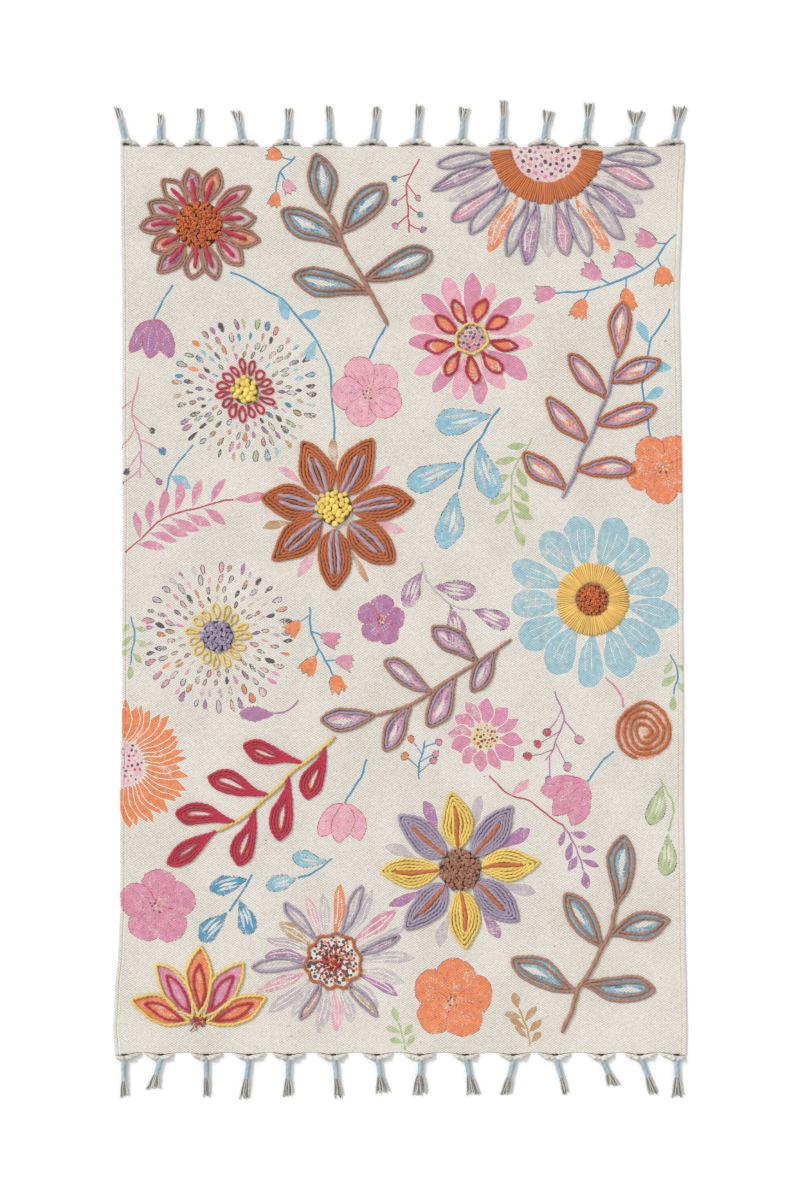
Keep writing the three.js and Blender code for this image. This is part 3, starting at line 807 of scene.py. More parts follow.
berries([(250, -150), (262, -196), (248, -240), (232, -262)], 6, 42, "mauve", ["crimson", "pink"], 7)
bells([(444, 596), (404, 548), (344, 514), (268, 500)], 7, 33, ["pink", "orange"])
bells([(-176, 722), (-196, 700), (-202, 680)], 3, 24, ["orange", "rose"])
bells([(-152, -12), (-146, -54), (-130, -90), (-120, -110)], 5, 29, ["orange", "pink"])
big_leaves([(160, 312), (130, 268), (104, 226), (92, 180)], 4, 96, 44, "sky", "teal")
big_leaves([(-246, -446), (-262, -480), (-284, -506)], 3, 64, 30, "teal", "sky")
big_leaves([(30, 62), (46, 26), (74, -4), (112, -18)], 4, 66, 31, "mauve", "grey", cover=0.76)
big_leaves([(422, -292), (440, -330), (436, -380)], 2, 66, 30, "sage", "sage", cover=0.86)
big_leaves([(-116, -422), (-142, -443), (-168, -452)], 2, 54, 26, "sky", "teal")
pen(flowing([(-170, -162), (-184, -178), (-206, -187)], 6), "mauve", 3, 0.9)
outlined(placed(petal(62, 27, 0.62, 0.7, -7, 12), -204, -187, 184), "mauve", 0.86, line_cover=0.5)
print("stamps in all:", len(stamps), "with", sum(len(outline) for outline, ink, cover in stamps), "points")

# %% [markdown]
# The cloth.
#
# It is one sheet, 2.6 mm thick, flat underneath. A flat grid with a picture would be the quick way, but
# no picture is used here. Instead the outlines of all stamps are cut into the top face by a constrained
# triangulation, and each small face remembers which ink lies on it. The side hems, their groove and the
# rounded edge are lines in the same triangulation, and a table gives the height at each of them.

# %% Outline of the cloth
EDGE_ROUND = 0.7
STATION = 7


def swell(column, y):
    """How far a long side stands out at y: the table's values, with smooth turns between them."""
    table = SIDE_SWELL[::-1]
    y = np.clip(np.asarray(y, float), table[0, 0], table[-1, 0])
    row = np.clip(np.searchsorted(table[:, 0], y, side="right") - 1, 0, len(table) - 2)
    share = (y - table[row, 0]) / (table[row + 1, 0] - table[row, 0])
    share = share * share * (3 - 2 * share)
    return table[row, column] * (1 - share) + table[row + 1, column] * share


def left_edge(y, inset=0.0):
    return -CLOTH_WIDTH / 2 - swell(1, y) + inset


def right_edge(y, inset=0.0):
    return CLOTH_WIDTH / 2 + swell(2, y) - inset


def bulge(x, rows):
    """How far the cloth's end is pulled out at x: most at a tassel's root and nothing halfway to the next."""
    roots = np.array([row["root"] for row in rows], float)
    halfway = (roots[1:] + roots[:-1]) / 2
    middles = np.concatenate([[roots[0] - CLOTH_WIDTH / 2], halfway, [roots[-1] + CLOTH_WIDTH / 2]])
    nearest = np.abs(roots[None, :] - np.atleast_1d(x)[:, None]).argmin(axis=1)
    side = np.where(x > roots[nearest], middles[nearest + 1], middles[nearest])
    share = np.clip(np.abs(x - roots[nearest]) / np.abs(side - roots[nearest]), 0, 1)
    return SCALLOP * (1 - share) ** SCALLOP_SHARPNESS


def cloth_outline(inset):
    """The cloth's outline, anticlockwise, moved in by inset."""
    half = CLOTH_LENGTH / 2
    lines = []
    for name, ahead in (("bottom", 1), ("top", -1)):
        end, rows = ENDS[name]
        corners = left_edge(end * half, inset), right_edge(end * half, inset)
        stations = np.linspace(*corners, 2 * CLOTH_WIDTH // STATION)
        lines.append(np.column_stack([stations, end * (half + bulge(stations, rows) - inset)])[::ahead])
    y = np.linspace(-half, half, int(CLOTH_LENGTH / (3 * STATION)))[1:-1]
    right = np.column_stack([right_edge(y, inset), y])
    left = np.column_stack([left_edge(y, inset), y])[::-1]
    return np.vstack([lines[0], right, lines[1], left])


outline = cloth_outline(0.0)
print("outline points:", len(outline), "width and length, mm:", np.ptp(outline, axis=0).round(1))

# %% Cut the stamps into the cloth's top
# Height of the hem at places inwards from the edge: inwards, height
HEM_PROFILE = np.array([
    (0, 1.9), (0.7, 2.9), (2.2, 3.2), (5.4, 3.1), (6.3, 1.9), (7.3, 2.1), (9.2, 3.0), (11.5, 2.6),
])
GRID = 19
GRID_COLUMNS, GRID_ROWS = 23, 38
GRID_WANDER = 4
OVERSHOOT = 20


def closed_edges(start, count):
    return [(start + i, start + (i + 1) % count) for i in range(count)]


points = [outline, cloth_outline(EDGE_ROUND)]
edges = closed_edges(len(outline), len(points[1]))
count = len(points[0]) + len(points[1])
far = CLOTH_LENGTH / 2 + OVERSHOOT
hem_y = np.linspace(-far, far, 2 * CLOTH_LENGTH // (3 * STATION))
for edge in (left_edge, right_edge):
    for inset in HEM_PROFILE[2:, 0]:
        points.append(np.column_stack([edge(hem_y, inset), hem_y]))
        edges += [(count + i, count + i + 1) for i in range(len(hem_y) - 1)]
        count += len(hem_y)
columns, rows = (GRID * np.arange(-most, most + 1) for most in (GRID_COLUMNS, GRID_ROWS))
grid_x, grid_y = np.meshgrid(columns, rows)
grid = np.column_stack([grid_x.ravel(), grid_y.ravel()])
grid = grid + chance.uniform(-GRID_WANDER, GRID_WANDER, grid.shape)
points.append(grid)
count += len(grid)
faces = [list(range(len(outline)))]
for shape, ink, cover in stamps:
    points.append(shape)
    faces.append(list(range(count, count + len(shape))))
    count += len(shape)
flat = np.vstack(points)
cut = delaunay_2d_cdt([Vector(p) for p in flat.tolist()], edges, faces, 1, 1e-4)
vertices, _, areas, _, _, owners_of_areas = cut
cut_points = np.array([tuple(p) for p in vertices])
cut_faces = [(face, owners) for face, owners in zip(areas, owners_of_areas) if 0 in owners]
print("points cut:", len(cut_points), "faces on the cloth:", len(cut_faces))

# %% Raise the cloth to its thickness
RIPPLE = 0.16


def cloth_height(points):
    """The top's height: the hem's profile near a side, and faint ripples all over."""
    x, y = points[:, 0], points[:, 1]
    aside = np.minimum(x - left_edge(y), right_edge(y) - x)
    ends = CLOTH_LENGTH / 2 - np.abs(y)
    height = np.interp(aside, HEM_PROFILE[:, 0], HEM_PROFILE[:, 1])
    ripple = np.sin(x / 23 + 2 * np.sin(y / 61)) + np.sin(y / 17 + 2.3 * np.sin(x / 47) + 1)
    return height + RIPPLE * ripple * np.clip((ends - 4) / 30, 0, 1)


def sheet_mesh(name):
    """The cut top, its rounded edge and a flat underside, as one closed sheet."""
    form = bmesh.new()
    tint = form.loops.layers.float_color.new("ink")
    height = cloth_height(cut_points)
    corners = [form.verts.new((*p, z)) for p, z in zip(cut_points, height)]
    for face, owners in cut_faces:
        made = form.faces.new([corners[i] for i in face])
        _, ink, cover = stamps[max(owners) - 1] if max(owners) else (None, "grey", 0.0)
        for loop in made.loops:
            loop[tint] = (*ink_light[ink], cover)
    for corner in [v for v in form.verts if not v.link_faces]:
        form.verts.remove(corner)
    rim = [e for e in form.edges if e.is_boundary]
    for v in {v for e in rim for v in e.verts}:
        v.co.z = CLOTH_TOP - EDGE_ROUND
    for drop, inset in ((EDGE_ROUND, 0.0), (0.0, EDGE_ROUND)):
        grown = bmesh.ops.extrude_edge_only(form, edges=rim)["geom"]
        for v in (g for g in grown if isinstance(g, bmesh.types.BMVert)):
            v.co.z = drop
            v.co.x -= math.copysign(inset, v.co.x) if abs(v.co.x) > CLOTH_WIDTH / 2 - 20 else 0
            v.co.y -= math.copysign(inset, v.co.y) if abs(v.co.y) > CLOTH_LENGTH / 2 - 3 else 0
        rim = [g for g in grown if isinstance(g, bmesh.types.BMEdge) and g.is_boundary]
    bmesh.ops.contextual_create(form, geom=rim)
    bmesh.ops.recalc_face_normals(form, faces=form.faces)
    mesh = bpy.data.meshes.new(name)
    form.to_mesh(mesh)
    form.free()
    return mesh


def add_piece(name, mesh):
    piece = bpy.data.objects.new(name, mesh)
    bpy.context.scene.collection.objects.link(piece)
    return piece


def settle(mesh):
    """Takes a mesh that was made in the drawing's millimetres to its place in the frame."""
    mesh.transform(Matrix.Translation((SHIFT_X, SHIFT_Y, 0)))
    mesh.transform(Matrix.Scale(MM, 4))


cloth_mesh = sheet_mesh("rug_weave")
settle(cloth_mesh)
cloth = add_piece("rug_weave", cloth_mesh)
print("cloth faces:", len(cloth_mesh.polygons))

# %% [markdown]
# Yarn.
#
# A cord is two plies twisted round each other. Its section is a figure of eight, which turns as it goes
# along the path. A curve with a bevel can do this, but then each point's tilt has to be set as well. Here
# the sections are placed directly: side and up are found from the path's heading, and the section is
# turned a little at each step. Each point also keeps its dye and a tone, which is painted shade: dark in
# the groove between the plies and low on the sides, where one cord lies against the next.

# %% Sweeping a section along a path
STEP = 1.5
SECTION_POINTS = 10
PLY_TURN = 16.0
SMOOTHING = 3


def even_steps(path, step, closed):
    """The path again, with points one step apart and small corners rounded."""
    line = np.vstack([path, path[:1]]) if closed else np.asarray(path, float)
    reach = np.concatenate([[0], np.cumsum(np.linalg.norm(np.diff(line, axis=0), axis=1))])
    count = max(4, int(round(reach[-1] / step)))
    places = np.linspace(0, reach[-1], count + 1)
    line = np.column_stack([np.interp(places, reach, line[:, i]) for i in range(line.shape[1])])
    if closed:
        line = line[:-1]
        for _ in range(SMOOTHING):
            line = (np.roll(line, 1, axis=0) + 2 * line + np.roll(line, -1, axis=0)) / 4
    else:
        for _ in range(SMOOTHING):
            line[1:-1] = (line[:-2] + 2 * line[1:-1] + line[2:]) / 4
    return line


def sweep(line, radii, plies, turn_length, closed=False, points=SECTION_POINTS, waist=0.24, start_turn=0.0):
    """Twisted yarn along a line of 3D points: points, faces, lengthwise and round coordinates, and a tone of
    painted shade.
    """
    count = len(line)
    ahead = (np.roll(line, -1, axis=0) - np.roll(line, 1, axis=0)) if closed else np.gradient(line, axis=0)
    ahead /= np.linalg.norm(ahead, axis=1)[:, None]
    side = np.cross(ahead, [0.0, 0.0, 1.0])
    side /= np.maximum(np.linalg.norm(side, axis=1), 1e-6)[:, None]
    up = np.cross(side, ahead)
    steps = np.linalg.norm(np.diff(line, axis=0), axis=1)
    reach = np.concatenate([[0], np.cumsum(steps)])
    whole = reach[-1] + (np.linalg.norm(line[0] - line[-1]) if closed else 0)
    turns = whole / turn_length
    if closed:
        turns = max(1, round(turns * plies)) / plies
    twist = start_turn + 2 * np.pi * turns * reach / whole
    angle = np.linspace(0, 2 * np.pi, points, endpoint=False)
    lobe = 1 - waist * (0.5 - 0.5 * np.cos(plies * angle))
    radii = np.broadcast_to(np.asarray(radii, float), (count,))
    turned = angle[None, :] + twist[:, None]
    out = (radii[:, None] * lobe[None, :])[..., None]
    sideways = np.cos(turned)[..., None] * side[:, None, :]
    upwards = np.sin(turned)[..., None] * up[:, None, :]
    rings = line[:, None, :] + out * (sideways + upwards)
    vertices = rings.reshape(-1, 3)
    rows = np.arange(count if closed else count - 1)
    here = rows[:, None] * points + np.arange(points)[None, :]
    here_next = rows[:, None] * points + (np.arange(points)[None, :] + 1) % points
    there = (rows[:, None] + 1) % count * points + np.arange(points)[None, :]
    there_next = (rows[:, None] + 1) % count * points + (np.arange(points)[None, :] + 1) % points
    quads = np.stack([here, here_next, there_next, there], axis=-1).reshape(-1, 4).tolist()
    length = np.repeat(reach, points)
    around = np.tile(angle / (2 * np.pi), count)
    # The tone is painted shade: darker in the groove between the plies and on the sides that face down.
    ply = (lobe - lobe.min()) / max(np.ptp(lobe), 1e-6)
    facing_up = np.clip(np.sin(turned) + 0.25, 0, 1) ** 0.6
    tone = ((0.6 + 0.4 * ply[None, :]) * (0.25 + 0.75 * facing_up)).ravel()
    if not closed:
        caps = []
        for i, sign in ((0, -1), (count - 1, 1)):
            base = len(vertices)
            nose = line[i] + ahead[i] * sign * radii[i] * 0.5
            vertices = np.vstack([vertices, nose + (rings[i] - line[i]) * 0.5])
            length = np.concatenate([length, np.full(points, reach[i])])
            around = np.concatenate([around, angle / (2 * np.pi)])
            tone = np.concatenate([tone, np.full(points, 0.6)])
            for k in range(points):
                a, b = i * points + k, i * points + (k + 1) % points
                c, d = base + (k + 1) % points, base + k
                caps.append([a, d, c, b] if sign < 0 else [a, b, c, d])
            last = list(range(base, base + points))
            caps.append(last[::-1] if sign > 0 else last)
        quads += [face[::-1] for face in caps]
    return {"points": vertices, "faces": quads, "length": length, "around": around, "tone": tone}


trial = sweep(np.column_stack([np.linspace(0, 20, 12), np.zeros(12), np.zeros(12)]), 2.6, 2, PLY_TURN)
print("a 20 mm cord has", len(trial["points"]), "points")

# %% [markdown]
# From swept yarn to pieces.
#
# Many lengths of yarn are gathered into one mesh for each flower or branch. The dye is kept as a colour
# at every point, so a petal and its vein can share one piece and one material.

# %% Gathering yarn into pieces
SOFT_CORD = 3.1


def yarn_mesh(name, parts):
    """One mesh from swept parts, each with its own dye."""
    points, faces, coords, dyes, tones = [], [], [], [], []
    base = 0
    for part in parts:
        points.append(part["points"])
        faces += [[base + i for i in face] for face in part["faces"]]
        coords.append(np.column_stack([part["length"] * MM, part["around"]]))
        dyes.append(np.broadcast_to(part["dye"], (len(part["points"]), 3)))
        tones.append(part["tone"])
        base += len(part["points"])
    points = to_frame(np.vstack(points))
    mesh = bpy.data.meshes.new(name)
    mesh.from_pydata(points.tolist(), [], faces)
    dye = mesh.attributes.new("dye", "FLOAT_COLOR", "POINT")
    colours = np.column_stack([np.vstack(dyes), np.ones(len(points))])
    dye.data.foreach_set("color", colours.ravel().astype(np.float32))
    # The tone attribute is painted shade, kept at every point.
    tone = mesh.attributes.new("tone", "FLOAT", "POINT")
    tone.data.foreach_set("value", np.concatenate(tones).astype(np.float32))
    lie = mesh.attributes.new("lie", "FLOAT2", "POINT")
    lie.data.foreach_set("vector", np.vstack(coords).ravel().astype(np.float32))
    mesh.polygons.foreach_set("use_smooth", np.ones(len(mesh.polygons), bool))
    mesh.update()
    form = bmesh.new()
    form.from_mesh(mesh)
    bmesh.ops.recalc_face_normals(form, faces=form.faces)
    form.to_mesh(mesh)
    form.free()
    return mesh


def sewn_cord(note):
    """The swept yarn of one noted cord. Thick cords are softly spun, and ends thin out."""
    flat_line = even_steps(note["path"], STEP, note["closed"])
    reach = np.linspace(0, len(flat_line), len(flat_line))
    wander = 0.25 * np.sin(reach / 3.1 + chance.uniform(0, 6)) + 0.15 * np.sin(reach / 1.3)
    height = CLOTH_TOP + 0.58 * note["radius"] + note["lift"] + wander * 0.6
    radii = note["radius"] * (1 + 0.05 * np.sin(reach / 2.3 + chance.uniform(0, 6)))
    line = np.column_stack([flat_line, height])
    if not note["closed"]:
        radii = radii * np.minimum(1, 0.6 + 0.1 * np.minimum(reach, reach[-1] - reach))
    turn, waist = (2 * PLY_TURN, 0.12) if note["radius"] > SOFT_CORD else (PLY_TURN, 0.24)
    part = sweep(line, radii, 2, turn, note["closed"], waist=waist, start_turn=chance.uniform(0, 3))
    part["dye"] = dye_light[note["dye"]] * chance.uniform(0.92, 1.06)
    return part


yarn_pieces = {}
for name, notes in cord_notes.items():
    yarn_pieces[name] = add_piece(name, yarn_mesh(name, [sewn_cord(note) for note in notes]))
print({name: len(piece.data.polygons) for name, piece in yarn_pieces.items()})

# %% [markdown]
# Knots.
#
# At a flower's centre the yarn is brought up, curled round and taken down again, over and over, and each
# curl shows as a fat nub with a little hollow in its top. A spun tube was tried first, but its ends stuck
# out. So a block is divided and rounded into a ball, stretched a little, and one top face is inset and
# pushed in for the hollow. A second, longer nub keeps the heap from looking even. Copies are packed over
# a low dome, which is dyed dark as painted shade in the gaps between them. Each nub carries painted shade
# low on its sides and in its hollow. The yellow yarn is the thickest, so its nubs are the largest and stand
# farthest apart. Thick yarn fills its own curl, so two more nubs, almost without a hollow, are kept for it.

# %% One nub, by rounding a block


def model_nub(name, stretch, hollow):
    """A rounded nub, modelled in millimetres at the origin, with its top pushed in by hollow."""
    deselect()
    bpy.ops.mesh.primitive_cube_add(size=7, location=(0, 0, 0))
    nub = bpy.context.object
    nub.name = name
    bpy.ops.object.mode_set(mode="EDIT")
    bpy.ops.mesh.select_all(action="SELECT")
    bpy.ops.mesh.subdivide(number_cuts=2)
    bpy.ops.transform.tosphere(value=1.0)
    bpy.ops.transform.resize(value=(stretch, 1, 0.85), center_override=(0, 0, 0))
    bpy.ops.mesh.select_mode(type="FACE")
    bpy.ops.mesh.select_all(action="DESELECT")
    bpy.ops.object.mode_set(mode="OBJECT")
    top = max(nub.data.polygons, key=lambda face: face.center.z)
    top.select = True
    bpy.ops.object.mode_set(mode="EDIT")
    bpy.ops.mesh.inset(thickness=0.25)
    bpy.ops.transform.translate(value=(0, 0, -hollow))
    bpy.ops.object.mode_set(mode="OBJECT")
    return nub


NUB_REACH = 3.7
NUB_FORMS = [("nub_round", 1.0, 0.9), ("nub_long", 1.3, 0.7), ("nub_ball", 1.0, 0.1), ("nub_egg", 1.2, 0.1)]
nubs = [model_nub(*form) for form in NUB_FORMS]
nub_shapes = []
for nub in nubs:
    shape = np.array([tuple(v.co) for v in nub.data.vertices])
    # Points of the inset dent get 0 here, for painted shade in the dent.
    light = np.array([0.0 if v.select else 1.0 for v in nub.data.vertices])
    reach = np.linalg.norm(shape, axis=1).max()
    nub_shapes.append((shape * NUB_REACH / reach, light, [list(face.vertices) for face in nub.data.polygons]))
    bpy.data.objects.remove(nub)
for (name, *_), (shape, light, faces) in zip(NUB_FORMS, nub_shapes):
    print(name, "has", len(faces), "faces and measures, mm:", np.ptp(shape, axis=0).round(1))

# %% Heaps of nubs
KNOT_STEP = 6.5
KNOT_TURN = 2.39996
SMOOTH_BELOW = 0.3
KNOTS = {
    "knots_zinnia": ("rust_knots", 0.98, 0.8), "knots_red_dahlia": ("yellow_knots", 1.5, 0.1),
    "knots_rust_cone": ("yellow_knots", 1.4, 0.1), "knots_blue_daisy": ("rust_knots", 0.92, 0.8),
    "knots_gold_dahlia": ("lilac_knots", 1.22, 0.35), "knots_gold_cone": ("mocha_knots", 1.08, 0.4),
}


def tube_faces(rings, sides):
    """The quads between each ring of points and the next."""
    faces = []
    for i in range(rings - 1):
        for k in range(sides):
            after = (k + 1) % sides
            faces.append([i * sides + k, i * sides + after, (i + 1) * sides + after, (i + 1) * sides + k])
    return faces


def turned_matrix():
    """A random turn about the upright, with a tilt."""
    forwards = Matrix.Rotation(chance.uniform(-0.35, 0.35), 3, "X")
    sideways = Matrix.Rotation(chance.uniform(-0.35, 0.35), 3, "Y")
    return np.array(forwards @ sideways @ Matrix.Rotation(chance.uniform(0, 2 * math.pi), 3, "Z"))


def knot_heap(name, node, dye, size, hollow):
    """Nubs packed over a low dome. hollow says how much painted shade darkens their dents, and a low one
    picks smooth nubs.
    """
    x, y, radius = spot(node)
    rise = (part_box(node)[1][2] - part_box(node)[0][2]) / MM
    edge = radius - 3.2 * size
    count = int(math.pi * (edge + 1.4 * size) ** 2 / (0.84 * (KNOT_STEP * size) ** 2))
    parts = []
    for k in range(count):
        out = edge * math.sqrt((k + 0.5) / count) + 0.6 * size * chance.uniform(-1, 1)
        angle = k * KNOT_TURN + chance.uniform(-0.08, 0.08)
        crown = rise * max(0.0, 1 - (out / radius) ** 2) ** 0.6
        shape, light, faces = nub_shapes[k % 2 + (2 if hollow < SMOOTH_BELOW else 0)]
        points = shape * size * chance.uniform(0.86, 1.14, 3) @ turned_matrix().T
        points += [x + out * math.cos(angle), y + out * math.sin(angle), CLOTH_TOP + 0.4 + crown * 0.86]
        # Painted shade: each nub is darker low on its sides, and by hollow in its dent.
        upward = np.clip((points[:, 2] - points[:, 2].min() - 2.9 * size) / (2.6 * size), 0, 1)
        parts.append({
            "points": points, "faces": faces,
            "length": points[:, 0] + points[:, 1], "around": points[:, 2] / 9,
            "tone": upward * (1 - hollow + hollow * light),
            "dye": dye_light[dye] * chance.uniform(0.86, 1.1),
        })
    # A dark dome under the nubs is painted shade in the gaps between them.
    parts.append(shaded_heap_base(x, y, radius - 2.2 * size, rise * 0.72, dye))
    return add_piece(name, yarn_mesh(name, parts))


def shaded_heap_base(x, y, radius, rise, dye, sides=24, levels=4):
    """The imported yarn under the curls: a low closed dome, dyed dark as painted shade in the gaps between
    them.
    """
    shares = np.linspace(0, 1, levels + 1)[:-1]
    rings = [ring(radius * math.cos(s * math.pi / 2), sides, x, y) for s in shares]
    points = [np.column_stack([r, np.full(sides, CLOTH_TOP + rise * math.sin(s * math.pi / 2))])
              for r, s in zip(rings, shares)]
    points = np.vstack(points + [[[x, y, CLOTH_TOP + rise]]])
    faces = tube_faces(levels, sides)
    top = levels * sides
    faces += [[(levels - 1) * sides + k, (levels - 1) * sides + (k + 1) % sides, top] for k in range(sides)]
    faces.append(list(range(sides))[::-1])
    return {"points": points, "faces": faces, "length": points[:, 0], "around": points[:, 1],
            "tone": np.zeros(len(points)), "dye": dye_light[dye] * 0.45}


heaps = {node: knot_heap("heap_" + node.split("_", 1)[1], node, *yarn) for node, yarn in KNOTS.items()}
print("faces in the heaps:", {node: len(piece.data.polygons) for node, piece in heaps.items()})

# %% [markdown]
# Satin stitch.
#
# Long straight stitches lie side by side across a ring. Each is a barely twisted thread that starts low
# at the inner edge, arches over and dives in again at the outer edge. Their lengths differ by a
# millimetre or so, and a dark line shows between one thread and the next, partly real shadow and partly
# painted shade on each thread's sides.

# %% Satin rings
THREAD = 2.1
THREAD_STEP = 4.1


def satin_ring(name, x, y, inner, outer, start, stop, dye):
    """Threads side by side across a ring, or across the part of it from start to stop."""
    count = int(math.radians(stop - start) * outer / THREAD_STEP)
    parts = []
    for k in range(count):
        angle = math.radians(start + (stop - start) * (k + 0.5) / count)
        near = inner + chance.uniform(-1.2, 1.4)
        far = outer + chance.uniform(-1.8, 1.2)
        share = np.linspace(0, 1, 13)
        reach = near + (far - near) * share
        lean = angle + 0.02 * chance.uniform(-1, 1) * (share - 0.5)
        arch = CLOTH_TOP + 0.2 + 2.3 * np.sin(np.pi * share) ** 0.45 + 0.25 * chance.uniform(-1, 1)
        line = np.column_stack([x + reach * np.cos(lean), y + reach * np.sin(lean), arch])
        radii = THREAD * (0.72 + 0.32 * share)
        part = sweep(line, radii, 2, 90, points=8, waist=0.1, start_turn=chance.uniform(0, 3))
        part["dye"] = dye_light[dye] * chance.uniform(0.86, 1.1)
        parts.append(part)
    return add_piece(name, yarn_mesh(name, parts))


x, y, radius = spot("satin_blue_daisy")
satin_whole = satin_ring("satin_yellow_ring", x, y, 26.5, radius, 0, 360, "gold_satin")
satin_half = satin_ring("satin_rust_half_ring", *HALF_DAISY, *HALF_RING, *HALF_SPAN, "rust_satin")
print("faces in the satin rings:", len(satin_whole.data.polygons), len(satin_half.data.polygons))

# %% [markdown]
# The loose daisy and the lotus have small flat centres of crossed stitches.
#
# A few short threads in crimson and mustard, laid over each other, are enough.

# %% Stitched centres


def crossed_stitches(x, y, spread, count):
    """Short threads laid over each other, higher and higher."""
    made = []
    for k in range(count):
        angle = chance.uniform(0, math.pi)
        middle = np.array([x, y]) + chance.normal(0, spread, 2)
        half = chance.uniform(4, 7)
        share = np.linspace(-1, 1, 6)
        height = CLOTH_TOP + 3.6 - 2.2 * share ** 2 + 0.9 * k / count
        thread_x = middle[0] + half * share * math.cos(angle)
        thread_y = middle[1] + half * share * math.sin(angle)
        part = sweep(np.column_stack([thread_x, thread_y, height]), 1.2, 2, 6, points=6)
        part["dye"] = dye_light["mustard" if k % 4 == 0 else "crimson"]
        made.append(part)
    return made


stitches = crossed_stitches(LOTUS[0], LOTUS[1] + 8, 4.6, 34) + crossed_stitches(*DAISY, 6.2, 70)
stitched_centres = add_piece("stitched_centres", yarn_mesh("stitched_centres", stitches))
print("stitches in the centres:", len(stitches))

# %% [markdown]
# The tassels.
#
# The loose warp ends are led along the cloth's edge from both sides, twisted into ropes that grow as they
# take up more threads. They meet round a small gap, where a short dark cord is painted shadow, and a pale
# blue thread is wound round them to make the neck. Below it the ends fan out, and three of them are dyed
# darker, as painted shade for loose ends in the shadow of others. The neck is a tube with a ridge that
# climbs round it like a screw thread, one turn for each winding, with painted shade in its grooves.

# %% Arms, neck and strands of a tassel
ARM_PROFILE = np.array([(0, 3.4), (0.16, 4.7), (0.5, 4.3), (0.82, 3.0), (1, 1.5)])
ARM_SHARE, ARM_RIM, ARM_REACH = 0.9, 0.6, 24
NECK_WIDE, NECK_HIGH = 4.7, 3.9
WINDING = 2.1
ARM_HALF_HEIGHT = 3.4
NECK_POINTS = 14
STRAND = 1.55
STRANDS, WIDE_STRANDS, WIDE_FAN = 8, 10, 16


def tassel_arm(row, rows, end, side):
    """A rope of warp ends that lies along the cloth's edge on one side of the root."""
    roots = [other["root"] for other in rows]
    gaps = [(root - row["root"]) * side for root in roots if (root - row["root"]) * side > 0]
    corner = right_edge(end * CLOTH_LENGTH / 2) if side > 0 else left_edge(end * CLOTH_LENGTH / 2)
    reach = min(gaps) / 2 * ARM_SHARE if gaps else (corner - row["root"]) * side - ARM_PROFILE[-1, 1]
    reach = min(reach, ARM_REACH * chance.uniform(0.85, 1.15))
    share = np.linspace(0, 1, max(5, int(reach / 1.6)))
    x = row["root"] + side * reach * share
    long_lumps = 0.13 * np.sin(share * 11 + chance.uniform(0, 6))
    short_lumps = 0.08 * np.sin(share * 29 + chance.uniform(0, 6))
    lumps = 1 + long_lumps + short_lumps
    thick = np.interp(share, *ARM_PROFILE.T) * lumps
    y = end * (CLOTH_LENGTH / 2 + bulge(x, rows) + ARM_RIM + thick * 0.92)
    z = np.maximum(ARM_HALF_HEIGHT * (1 - share) + thick * share, thick)
    part = sweep(np.column_stack([x, y, z]), thick, 3, 26.0 * side * end, points=12, waist=0.2,
                 start_turn=chance.uniform(0, 3))
    mix = chance.uniform(0.45, 0.9)
    part["dye"] = dye_light["cream"] * mix + dye_light["grey"] * (1 - mix)
    return part


def root_shadow_cord(row, end):
    """A short dark cord, painted shadow in the little gap where the neck, its two arms and the cloth meet."""
    share = np.linspace(-1, 1, 5)
    x = row["root"] + 4.6 * share
    y = end * (CLOTH_LENGTH / 2 + SCALLOP - 0.6 - 1.2 * share ** 2)
    line = np.column_stack([x, y, np.full(5, CLOTH_TOP + 0.5)])
    part = sweep(line, 2.3 - 1.2 * share ** 2, 2, 9, points=6, start_turn=chance.uniform(0, 3))
    # Painted shadow: the gap's cord is dyed dark.
    part["dye"] = dye_light["shade"]
    return part


def tassel_neck(root, tip, height, bend):
    """A wound neck between two flat points."""
    span = np.linalg.norm(tip - root)
    rows = int(span / WINDING * 5)
    share = np.linspace(0, 1, rows)
    ahead = (tip - root) / span
    aside = np.array([ahead[1], -ahead[0]])
    centre = root + np.outer(share, tip - root) + np.outer(bend * np.sin(np.pi * share), aside)
    angle = np.linspace(0, 2 * np.pi, NECK_POINTS, endpoint=False)
    ridge = np.abs(np.sin(np.pi * share[:, None] * span / WINDING + angle[None, :] / 2)) ** 0.7
    patches = np.sin(share[:, None] * span * 0.33 + chance.uniform(0, 6))
    patches = patches * np.sin(2 * angle[None, :] + share[:, None] * 9)
    shrink = (1 - 0.12 * share)[:, None] * (0.87 + 0.13 * ridge)
    wide = NECK_WIDE * shrink * np.cos(angle)
    high = NECK_HIGH * shrink * np.sin(angle)
    flat_points = centre[:, None, :] + wide[..., None] * aside
    points = np.dstack([flat_points, height + high]).reshape(-1, 3)
    faces = tube_faces(rows, NECK_POINTS)
    faces += [list(range(NECK_POINTS))[::-1], [(rows - 1) * NECK_POINTS + k for k in range(NECK_POINTS)]]
    return {"points": points, "faces": faces, "length": np.repeat(share * span, NECK_POINTS) * 0.2,
            "around": np.tile(angle / (2 * np.pi), rows) * 3,
            # Painted shade in the grooves between windings, with random patches.
            "tone": (ridge * (0.72 + 0.28 * patches)).ravel(),
            "dye": dye_light["pale_blue"] * chance.uniform(0.95, 1.06)}


